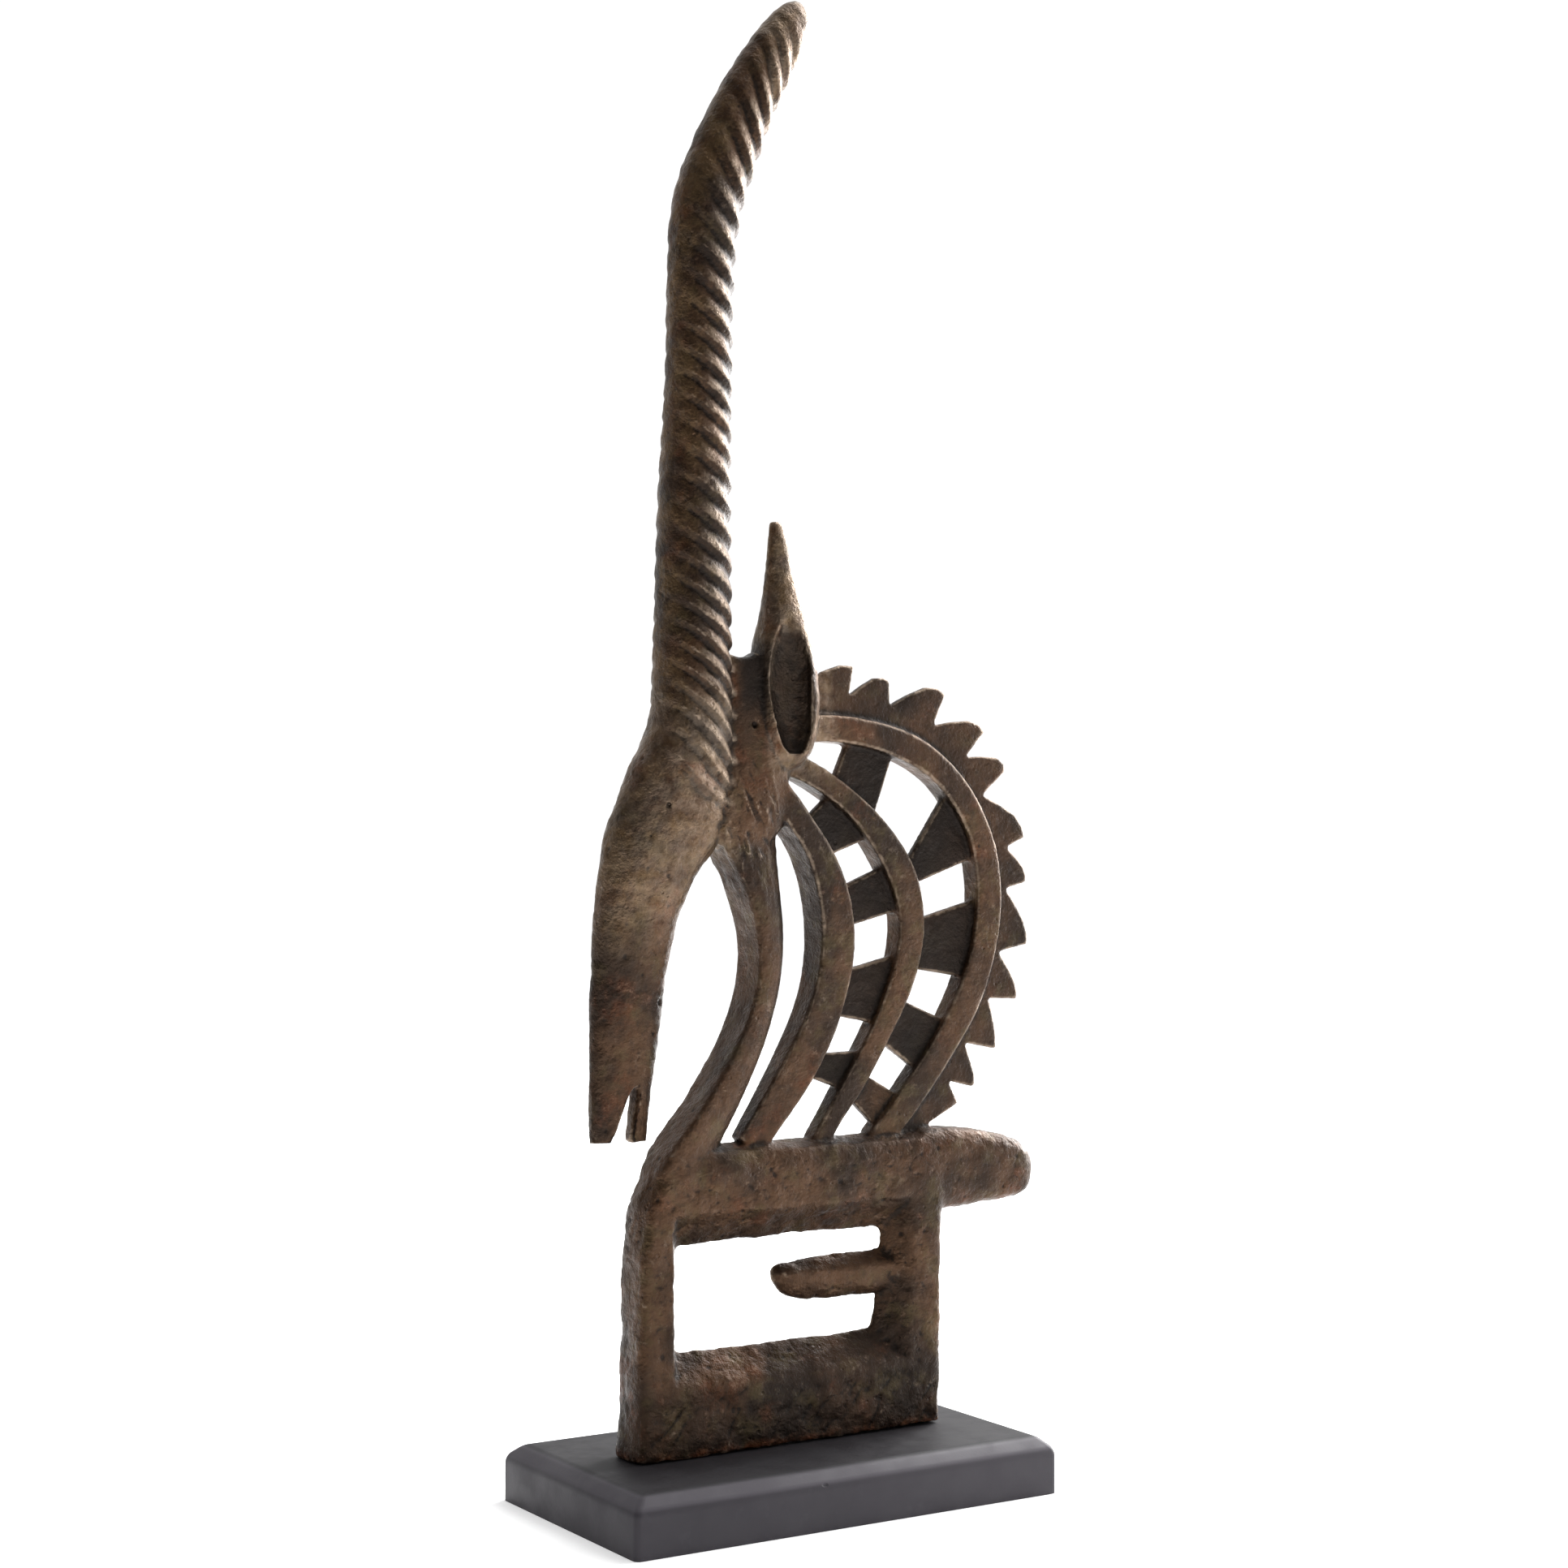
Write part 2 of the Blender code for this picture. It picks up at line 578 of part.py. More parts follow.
def crest():
    """Saw-toothed plate outside the outer rib: each tooth has a round back and a straight front."""
    outline = []
    start = CREST_START
    for tip, notch, rounding in CREST_TEETH:
        for share in CREST_TOOTH_SHARES:
            angle = start[0] + (tip[0] - start[0]) * share
            straight = start[1] + (tip[1] - start[1]) * share
            swell = rounding * (tip[1] - start[1]) * math.sin(math.pi * share ** CREST_SWELL_LEAN)
            outline.append(crest_point(angle, straight + swell))
        outline.append(crest_point(*tip))
        start = notch
    outline.append(crest_point(*start))
    outline += CREST_ROOT
    for k in range(CREST_INNER_STEPS, -1, -1):
        angle = CREST_START[0] + (CREST_INNER_END - CREST_START[0]) * k / CREST_INNER_STEPS
        spread = max(0.0, (angle - CREST_SPREADS_FROM) / (CREST_INNER_END - CREST_SPREADS_FROM))
        outline.append(crest_point(angle, CREST_INNER_REACH + CREST_SPREAD * spread))
    return prism("crest", outline, CREST_THICKNESS)


def frame_loop(bounds, rounds):
    """Points around a rectangle of the frame, each corner rounded by its own width and height."""
    left_foot, left_top, right_foot, right_top, low, high = bounds
    corners = (
        (left_foot, low, 1, 1, rounds[0]), (right_foot, low, -1, 1, rounds[1]),
        (right_top, high, -1, -1, rounds[2]), (left_top, high, 1, -1, rounds[3]),
    )
    starts = (math.pi, 1.5 * math.pi, 0.0, 0.5 * math.pi)
    loop = []
    for (x, z, side, up, (width, height)), start in zip(corners, starts):
        for k in range(CORNER_STEPS + 1):
            turn = start + 0.5 * math.pi * k / CORNER_STEPS
            loop.append((
                x + side * width + width * math.cos(turn),
                z + up * height + height * math.sin(turn),
            ))
    return loop


def frame():
    """Legs, back and foot bar around the window, as one band closed on itself."""
    half = FRAME_THICKNESS / 2
    edge = frame_loop(WINDOW_EDGE, (WINDOW_EDGE_ROUND,) * 4)
    ridge = frame_loop(WINDOW_RIDGE, (WINDOW_RIDGE_ROUND,) * 4)
    outer_rounds = (FOOT_ROUND, FOOT_ROUND, RUMP_ROUND, SHOULDER_ROUND)
    face = frame_loop(FRAME_FACE, outer_rounds)
    shoulder = frame_loop(FRAME_SHOULDER, outer_rounds)
    crown = frame_loop(FRAME_CROWN, outer_rounds)
    rings = []
    for r, e, f, s, c in zip(ridge, edge, face, shoulder, crown):
        rings.append([
            drawn(*r), drawn(*e, -half), drawn(*f, -half), drawn(*s, -FRAME_SHOULDER_SHARE * half),
            drawn(*c), drawn(*s, FRAME_SHOULDER_SHARE * half), drawn(*f, half), drawn(*e, half),
        ])
    return loft("frame", rings, closed=True)


def prong():
    """Forward-pointing prong in the window, ridged above and round below."""
    half = PRONG_THICKNESS / 2
    rings = []
    for x, top, edge, under, share in smooth_rows(PRONG_ROWS, 1):
        wide = half * share
        bilge = edge + (under - edge) * PRONG_BILGE_DROP
        side = PRONG_BILGE_WIDTH * wide
        base = PRONG_UNDER_WIDTH * wide
        rings.append([
            drawn(x, top), drawn(x, edge, -wide), drawn(x, bilge, -side), drawn(x, under, -base),
            drawn(x, under, base), drawn(x, bilge, side), drawn(x, edge, wide),
        ])
    return loft("prong", rings)


def tail():
    """Blunt tail stub behind the rear leg."""
    rings = []
    for x, top, low, share, squareness in smooth_rows(TAIL_ROWS, 1):
        half = share * FRAME_THICKNESS / 2
        ring = []
        for k in range(ROUND_SIDES):
            up, out = rounded(2 * math.pi * (k + 0.5) / ROUND_SIDES, squareness)
            ring.append(drawn(x, (top + low) / 2 + (top - low) / 2 * up, half * out))
        rings.append(ring)
    return loft("tail", rings)


def ear_cup(side):
    """Cutter for the long cup in one side of the ear."""
    face = EAR_ROWS[EAR_WIDEST][3] * FIGURE_SCALE
    floor = face - EAR_CUP_DEPTH
    middle_x, middle_z, _ = EAR_CUP_ROWS[EAR_CUP_WIDEST]
    right = [(x + half, z) for x, z, half in EAR_CUP_ROWS]
    left = [(x - half, z) for x, z, half in reversed(EAR_CUP_ROWS)]
    levels = [(1.0, face + EAR_CUTTER_REACH)]
    levels += [(share, floor + left_over * EAR_CUP_DEPTH) for share, left_over in EAR_CUP_LEVELS]
    rings = []
    for share, depth in levels:
        height = EAR_CUP_HEIGHT_KEPT + (1 - EAR_CUP_HEIGHT_KEPT) * share
        rings.append([
            drawn(middle_x + (x - middle_x) * share, middle_z + (z - middle_z) * height, side * depth)
            for x, z in right + left
        ])
    return loft("ear_cup", rings)


def ear():
    """Upright ear with a cup in each side."""
    body = loft("ear", [level_ring(row) for row in smooth_rows(EAR_ROWS, 1)])
    for side in (-1, 1):
        combine(body, ear_cup(side), "DIFFERENCE")
    return body


def poll():
    """Mass behind the horn that the ear, neck and ribs grow from."""
    return loft("poll", [level_ring(row, POLL_SIDES) for row in smooth_rows(POLL_ROWS, 1)])


def antelope():
    """The whole casting as one body."""
    body = frame()
    body.name = "antelope"
    combine(body, prong())
    combine(body, tail())
    combine(body, neck())
    skull = head_and_horn()
    combine(skull, prism("mouth", MOUTH_OUTLINE, MOUTH_CUTTER_THICKNESS), "DIFFERENCE")
    combine(body, skull)
    combine(body, poll())
    lattice = rib("inner_rib", INNER_RIB_ROWS, INNER_RIB_THICKNESS, INNER_RIB_FOOT_SHARE)
    combine(lattice, rib("middle_rib", MIDDLE_RIB_ROWS, MIDDLE_RIB_THICKNESS))
    combine(lattice, rib("outer_rib", OUTER_RIB_ROWS, OUTER_RIB_THICKNESS))
    for corners in INNER_WEBS + OUTER_WEBS:
        combine(lattice, web("web", corners))
    combine(lattice, crest())
    combine(body, lattice)
    combine(body, ear())
    body.data.name = "antelope"
    body.data.materials.clear()
    patina = material("patinated casting", CASTING_COLOUR, CASTING_ROUGHNESS, CASTING_METALLIC)
    body.data.materials.append(patina)
    body.data.shade_smooth()
    body.data.set_sharp_from_angle(angle=math.radians(SMOOTH_ANGLE))
    return body


def plinth_ring(inset, z, radius):
    """Rectangle with rounded corners at one level of the plinth."""
    ring = []
    for quarter, (side, end) in enumerate(((1, 1), (-1, 1), (-1, -1), (1, -1))):
        x = side * (PLINTH_LENGTH / 2 - inset - radius)
        y = end * (PLINTH_WIDTH / 2 - inset - radius)
        for k in range(CORNER_STEPS + 1):
            turn = math.radians(90) * (quarter + k / CORNER_STEPS)
            ring.append(Vector((x + radius * math.cos(turn), y + radius * math.sin(turn), z)))
    return ring


def plinth():
    """Low block with slightly leaning sides and bevelled top edges."""
    rings = [
        plinth_ring(0.0, 0.0, PLINTH_CORNER_RADIUS),
        plinth_ring(PLINTH_SIDE_DRAFT, PLINTH_SIDE_HEIGHT, PLINTH_CORNER_RADIUS),
        plinth_ring(PLINTH_SIDE_DRAFT + PLINTH_BEVEL_RUN, PLINTH_THICKNESS, PLINTH_CORNER_RADIUS),
    ]
    body = loft("plinth", rings)
    body.data.materials.append(material("dark grey paint", PLINTH_COLOUR, PLINTH_ROUGHNESS, 0.0))
    return body


clear_scene()
plinth()
antelope()
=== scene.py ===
"""Chiwara antelope sculpture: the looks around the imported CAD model.

The casting is made from a copy of its CAD solid: melted into one skin, its horn and muzzle turned
smooth, and then worked over like the sand casting it is, with ridges, lumps, creases and pits.
The plinth is built new at the CAD plinth's sizes.
"""

import math

import bmesh
import bpy
import numpy as np
from bpy.props import FloatProperty, FloatVectorProperty, PointerProperty
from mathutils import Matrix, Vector, kdtree, noise


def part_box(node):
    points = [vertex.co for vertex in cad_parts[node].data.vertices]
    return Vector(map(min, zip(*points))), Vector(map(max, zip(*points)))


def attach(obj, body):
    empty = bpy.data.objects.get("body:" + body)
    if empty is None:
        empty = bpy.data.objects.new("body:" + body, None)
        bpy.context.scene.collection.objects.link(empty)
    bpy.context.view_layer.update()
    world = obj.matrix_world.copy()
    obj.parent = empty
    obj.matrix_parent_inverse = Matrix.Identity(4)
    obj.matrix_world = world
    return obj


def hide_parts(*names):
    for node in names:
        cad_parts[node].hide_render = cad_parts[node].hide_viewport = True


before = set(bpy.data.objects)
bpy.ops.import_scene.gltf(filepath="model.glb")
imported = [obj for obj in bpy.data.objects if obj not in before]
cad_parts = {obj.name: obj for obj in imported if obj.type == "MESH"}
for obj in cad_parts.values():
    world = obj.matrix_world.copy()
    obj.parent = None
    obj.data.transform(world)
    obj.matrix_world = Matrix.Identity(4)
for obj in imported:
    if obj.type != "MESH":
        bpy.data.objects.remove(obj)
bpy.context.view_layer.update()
ANTELOPE_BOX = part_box("antelope")
PLINTH_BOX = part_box("plinth")

bl_info = {
    "name": "Chiwara antelope",
    "version": (1, 0, 0),
    "blender": (4, 5, 0),
    "location": "View3D > Sidebar > Chiwara",
    "description": "Builds an open-work antelope casting on its painted plinth",
    "category": "Add Mesh",
}

MM = 0.001
# Guards divisions by lengths that may be nothing.
TINY = 1e-9

# The casting's skin is remeshed with voxels of this size and thinned to this many triangles.
SKIN_VOXEL = 0.92 * MM
SKIN_TRIANGLES = 192000

# Places on the casting, in metres: the levels of its back, the body's middle, the foot bar's top and the
# seat on the plinth, and the outer ends of its legs. x runs from the muzzle's side to the tail's, and z up.
BACK_LEVEL = 0.1788
BODY_MIDDLE = 0.158
FOOT_TOP = 0.062
SEAT_TOP = 0.033
LEGS_FRONT = -0.0900
LEGS_BACK = 0.0811

# The lattice lies behind this x, within reach of the centre of its arcs. Its webs reach less far.
LATTICE_FRONT = -0.028
LATTICE_CENTRE = (0.038, 0.297)
LATTICE_REACH = 0.135
WEB_REACH = 0.092

# The dip of the poll between horn and ear, and the round fillets that run up to them.
SADDLE_FRONT = -0.0325
SADDLE_BACK = -0.0160
SADDLE_TOP = 0.4200
HORN_FILLET = 5.5 * MM
EAR_FILLET = 7.0 * MM

# The cup in the ear's side: middle in x and z, and half its width and height.
CUP_CENTRE = (0.001, 0.401)
CUP_HALF = (0.0125, 0.034)

# Head and horn, in millimetres, as in the solid: front x, z, back x, z, half thickness, squareness.
HEAD_AND_HORN_ROWS = (
    (-108.2, 183.0, -77.8, 182.4, 5.0, 2.3),
    (-108.5, 200.0, -75.8, 200.0, 5.6, 2.3),
    (-108.3, 225.0, -72.8, 225.0, 6.8, 2.3),
    (-107.8, 250.0, -69.0, 249.0, 8.2, 2.3),
    (-106.8, 271.0, -66.0, 269.0, 9.6, 2.3),
    (-105.5, 290.0, -62.0, 287.0, 11.0, 2.3),
    (-103.4, 306.0, -56.4, 301.0, 12.4, 2.3),
    (-101.0, 321.0, -48.4, 314.0, 13.8, 2.3),
    (-97.2, 336.0, -39.8, 325.0, 15.4, 2.3),
    (-91.2, 351.0, -33.8, 338.0, 16.9, 2.3),
    (-84.8, 365.0, -31.8, 352.0, 18.2, 2.2),
    (-77.4, 378.0, -31.6, 367.0, 19.0, 2.2),
    (-73.0, 391.0, -31.8, 382.0, 19.3, 2.1),
    (-71.8, 405.0, -31.8, 400.0, 19.2, 2.1),
    (-70.6, 430.0, -32.0, 428.0, 18.8, 2.1),
    (-69.6, 465.0, -32.2, 465.0, 18.4, 2.1),
    (-68.3, 500.0, -32.2, 500.0, 17.8, 2.1),
    (-65.6, 535.0, -31.8, 535.0, 17.0, 2.1),
    (-64.2, 570.0, -31.2, 570.0, 16.4, 2.1),
    (-63.5, 604.0, -30.2, 602.0, 16.3, 2.1),
    (-62.2, 630.0, -27.8, 625.0, 16.4, 2.1),
    (-58.6, 650.0, -24.6, 640.4, 16.2, 2.1),
    (-52.0, 666.4, -20.0, 652.6, 15.6, 2.1),
    (-44.2, 683.4, -14.0, 668.6, 14.8, 2.1),
    (-30.8, 706.4, -4.8, 691.2, 13.4, 2.1),
    (-16.6, 726.8, 5.6, 712.2, 12.0, 2.1),
    (-6.4, 738.6, 11.4, 726.0, 10.4, 2.1),
    (0.8, 745.0, 14.2, 734.0, 8.2, 2.1),
    (6.4, 747.6, 15.0, 740.2, 5.0, 2.1),
)
# Stations made from one row to the next, and the row where the ridges begin.
ROW_STEPS = 12
RIDGES_FROM = 8
# Up the horn, in millimetres: the ridges' pitches, the length over which they set in at both ends, and how
# far each drops from front to back. The last number is the share of that drop that is even.
RIDGE_PITCHES = (16.6, 10.8, 10.7, 14.3, 10.8, 14.0, 16.3, 14.3, 9.4)
RIDGE_RISE = 35.0
RIDGE_SLANT = 28.0
RIDGE_EVEN_DROP = 0.35
# Going up one ridge, and how far its surface is sunk there: a worn face, then an undercut.
RIDGE_PROFILE = (
    (0.0, 0.10, 0.34, 0.50, 0.62, 0.72, 0.93, 1.0),
    (0.0, 0.05, 0.30, 0.74, 1.0, 0.90, 0.16, 0.0),
)
# Going up one ridge, as start or end and run: dark wax and painted shadow under the crest gather and end,
# and the polish with its painted highlight ends.
DARK_GATHERS = (0.52, 0.38)
DARK_ENDS = (1.0, 0.05)
PALE_ENDS = (0.50, 0.40)
# Turning from the horn's front, 0, to its back, 1: where dark wax with painted shadow, polish with painted
# highlight and deep ridges begin, and where its smooth front ends.
DARK_BEGINS = (0.16, 0.28)
PALE_BEGINS = (0.36, 0.18)
RIDGES_BEGIN = (0.04, 0.44)
FRONT_ENDS = (0.46, 0.22)
# Ridge depth and dark wax with painted shadow left at the very front, as shares.
FRONT_RIDGES = 0.16
FRONT_DARK = 0.6
# Skin nearer to the turned form than the first is drawn onto it; the draw fades over the second.
DRAW_WHOLE = 1.3 * MM
DRAW_FADE = 1.8 * MM

# Single holes and dents seen in the casting, in millimetres: x, z, radius, depth.
NEAR_SIDE_HOLES = (
    (-73.5, 345.2, 2.0, 1.6), (-21.1, 384.9, 2.6, 2.6), (-76.0, 234.6, 1.5, 1.2),
    (-64.0, 261.5, 2.0, 1.4), (-85.2, 369.7, 1.4, 0.9), (130.5, 146.4, 1.4, 0.9),
    (27.4, 157.1, 2.4, 0.8), (-11.8, 162.0, 2.4, 0.7), (-82.5, 331.0, 1.2, 0.8),
)
# Small dents strewn over the skin: how many, and the seed that places them.
STREWN_DENTS = 300
DENT_SEED = 29

# Size of each kind of relief along the skin, and how high or deep it goes.
LUMP_SIZE = 21 * MM
BEATEN_SIZE = 9 * MM
CREASE_SIZE = 18 * MM
CREASE_DEPTH = 0.7 * MM
RUN_SIZE = 6.5 * MM
RUN_HEIGHT = 0.9 * MM
GRAIN_SIZE = 3.4 * MM
GRAIN_HEIGHT = 0.21 * MM

# Rise above the mean of the skin around it that counts as fully rubbed, and depths of a full hollow.
FULL_WEAR = 0.30 * MM
FINE_HOLLOW = 0.34 * MM
BROAD_HOLLOW = 1.2 * MM

# Dings on the plinth's lower bevel edge: x and radius in millimetres, and stretch along the edge.
PLINTH_DINGS = ((-17.5, 1.6, 1.6), (-2.3, 1.1, 2.2))

# Soft lights: name, place, and width and height. All turn to one point of the object.
LIGHTS = (
    ("key", (1.70, 0.40, 0.85), (1.2, 1.6)),
    ("fill", (0.85, -1.60, 0.70), (0.9, 1.2)),
    ("rim", (-1.35, 0.95, 0.75), (0.6, 1.4)),
    ("top", (1.00, 0.15, 1.95), (1.2, 1.2)),
)
LIGHT_AIM = (0.0, 0.0, 0.36)
# The white room is bright towards this side, behind the object, and dim on the other.
BRIGHT_SIDE = (0.72, 0.56, 0.40)

# The camera looks level; its turn about the vertical is in degrees, its lens in millimetres.
CAMERA_PLACE = (-0.7537, -1.2050, 0.3557)
CAMERA_TURN = -32.077
CAMERA_LENS = 65.35


def linear(hex_colour):
    """Linear colour of an sRGB hex value such as 5B4A3E."""
    channels = [int(hex_colour[k:k + 2], 16) / 255 for k in (0, 2, 4)]
    return tuple(c / 12.92 if c <= 0.04045 else ((c + 0.055) / 1.055) ** 2.4 for c in channels)


class CastingSettings(bpy.types.PropertyGroup):
    """Sizes and colours of the casting."""

    ridge_depth: FloatProperty(
        name="Ridge depth", description="How deep the horn's grooves are cut", default=2.1 * MM,
        subtype="DISTANCE", unit="LENGTH",
    )
    lump_height: FloatProperty(
        name="Lump height", description="How far the hammered body swells and sinks", default=0.6 * MM,
        subtype="DISTANCE", unit="LENGTH",
    )
    brown: FloatVectorProperty(
        name="Brown patina", description="Main colour of the casting", subtype="COLOR",
        default=linear("4B3524"), min=0, max=1,
    )
    umber: FloatVectorProperty(
        name="Umber patina", description="Darker colour of the casting", subtype="COLOR",
        default=linear("291D14"), min=0, max=1,
    )
    rust: FloatVectorProperty(
        name="Rust", description="Orange bloom in patches", subtype="COLOR",
        default=linear("5A3019"), min=0, max=1,
    )
    olive: FloatVectorProperty(
        name="Olive bloom", description="Grey-green bloom in patches", subtype="COLOR",
        default=linear("4C4129"), min=0, max=1,
    )
    ochre: FloatVectorProperty(
        name="Ochre", description="Yellowish wax on the horn's front, ear and brow", subtype="COLOR",
        default=linear("685237"), min=0, max=1,
    )
    fresh_rust: FloatVectorProperty(
        name="Fresh rust", description="Brighter rust at the seat and behind the horn", subtype="COLOR",
        default=linear("6B3B1E"), min=0, max=1,
    )
    # This colour also stands in for painted shade in recesses, hollows and the ridges' undercuts.
    grime_and_shade: FloatVectorProperty(
        name="Grime", description="Dark wax left in the recesses", subtype="COLOR",
        default=linear("140D08"), min=0, max=1,
    )
    # This colour is also laid on the horn ridges' upper slopes as a painted highlight.
    rubbed: FloatVectorProperty(
        name="Rubbed metal", description="Paler metal where edges are rubbed", subtype="COLOR",
        default=linear("B09C88"), min=0, max=1,
    )


class PlinthSettings(bpy.types.PropertyGroup):
    """Sizes and colour of the plinth."""

    side_height: FloatProperty(
        name="Side height", description="Height of the side below its bevel", default=22.2 * MM,
        subtype="DISTANCE", unit="LENGTH",
    )
    bevel_run: FloatProperty(
        name="Bevel run", description="How far the bevel goes in from the side", default=7.2 * MM,
        subtype="DISTANCE", unit="LENGTH",
    )
    corner_radius: FloatProperty(
        name="Corner radius", description="Rounding of the upright corners", default=3.0 * MM,
        subtype="DISTANCE", unit="LENGTH",
    )
    edge_rounding: FloatProperty(
        name="Edge rounding", description="Rounding of the bevel's edges", default=3.3 * MM,
        subtype="DISTANCE", unit="LENGTH",
    )
    paint: FloatVectorProperty(
        name="Paint", description="Charcoal paint", subtype="COLOR",
        default=linear("3C393E"), min=0, max=1,
    )


class StageSettings(bpy.types.PropertyGroup):
    """Floor and lights."""

    floor_size: FloatProperty(
        name="Floor size", description="Side of the square floor", default=60.0,
        subtype="DISTANCE", unit="LENGTH",
    )
    key_power: FloatProperty(
        name="Key light", description="Power of the light behind on the right", default=84.0, unit="POWER",
    )
    fill_power: FloatProperty(
        name="Fill light", description="Power of the light in front, right", default=5.0, unit="POWER",
    )
    rim_power: FloatProperty(
        name="Rim light", description="Power of the light on the left", default=1.0, unit="POWER",
    )
    top_power: FloatProperty(
        name="Top light", description="Power of the light above on the right", default=26.0, unit="POWER",
    )
    room_light: FloatProperty(
        name="Room light", description="Brightness of the white room behind", default=1.05, min=0,
    )
    dim_side: FloatProperty(
        name="Dim side", description="Brightness of the room in front on the left", default=0.12, min=0,
    )


def deselect_all():
    """Leave nothing selected, in object mode."""
    if bpy.context.object and bpy.context.object.mode != "OBJECT":
        bpy.ops.object.mode_set(mode="OBJECT")
    bpy.ops.object.select_all(action="DESELECT")


def take_up(piece):
    """Make one piece the only selected and active one."""
    deselect_all()
    piece.select_set(True)
    bpy.context.view_layer.objects.active = piece


def apply_modifier(piece, kind, **settings):
    """Add a modifier with its settings and apply it at once."""
    take_up(piece)
    modifier = piece.modifiers.new(kind.title(), kind)
    for key, value in settings.items():
        setattr(modifier, key, value)
    bpy.ops.object.modifier_apply(modifier=modifier.name)


def get_points(mesh):
    """Vertex places as an array, in metres."""
    points = np.empty(len(mesh.vertices) * 3, np.float32)
    mesh.vertices.foreach_get("co", points)
    return points.reshape(-1, 3).astype(float)


def set_points(mesh, points):
    """Write vertex places back."""
    mesh.vertices.foreach_set("co", np.asarray(points, np.float32).ravel())
    mesh.update()


def get_normals(mesh):
    """Vertex normals as an array."""
    normals = np.empty(len(mesh.vertices) * 3, np.float32)
    mesh.vertex_normals.foreach_get("vector", normals)
    return normals.reshape(-1, 3).astype(float)


def eased(share):
    """Smooth rise from 0 to 1 as the share goes from 0 to 1."""
    share = np.clip(share, 0.0, 1.0)
    return share * share * (3 - 2 * share)


def rising(value, start, run):
    """Share that is 0 up to the start and rises to 1 over the run after it."""
    return eased((value - start) / run)


def falling(value, end, run):
    """Share that is 1 until the run before the end, and 0 from the end on."""
    return eased((end - value) / run)


def noise_over(points, size, stretch=(1.0, 1.0, 1.0), octaves=2, shift=0.0):
    """Fractal noise of about -1 to 1 at each point, with features of the given size in metres."""
    placed = points / (size * np.asarray(stretch)) + shift
    return np.array([noise.fractal(p, 1.0, 2.1, octaves) for p in placed.tolist()])


def neighbours_mean(mesh, values, rounds):
    """Values at the vertices, averaged with their neighbours' a number of times."""
    edges = np.empty(len(mesh.edges) * 2, np.int64)
    mesh.edges.foreach_get("vertices", edges)
    a, b = edges.reshape(-1, 2).T
    count = len(mesh.vertices)
    weight = np.bincount(a, minlength=count) + np.bincount(b, minlength=count)
    weight = np.maximum(weight, 1)[:, None]
    for _ in range(rounds):
        total = np.stack([
            np.bincount(a, values[b, k], count) + np.bincount(b, values[a, k], count)
            for k in range(values.shape[1])
        ], axis=1)
        values = 0.5 * values + 0.5 * total / weight
    return values


def store(mesh, name, values):
    """Keep one number per vertex under a name that the material reads."""
    layer = mesh.attributes.new(name, "FLOAT", "POINT")
    layer.data.foreach_set("value", np.asarray(values, np.float32))


def smooth_rows(rows, steps):
    """Rows read off a smooth curve through the given rows."""
    rows = np.asarray(rows)
    last = len(rows) - 1
    made = []
    for position in np.arange(last * steps + 1) / steps:
        index = min(int(position), last - 1)
        t = position - index
        a, b, c, d = (rows[min(max(index + k, 0), last)] for k in (-1, 0, 1, 2))
        slope = (c - a) * t
        bend = (2 * a - 5 * b + 4 * c - d) * t ** 2
        twist = (3 * b - a - 3 * c + d) * t ** 3
        made.append(0.5 * (2 * b + slope + bend + twist))
    return np.array(made)


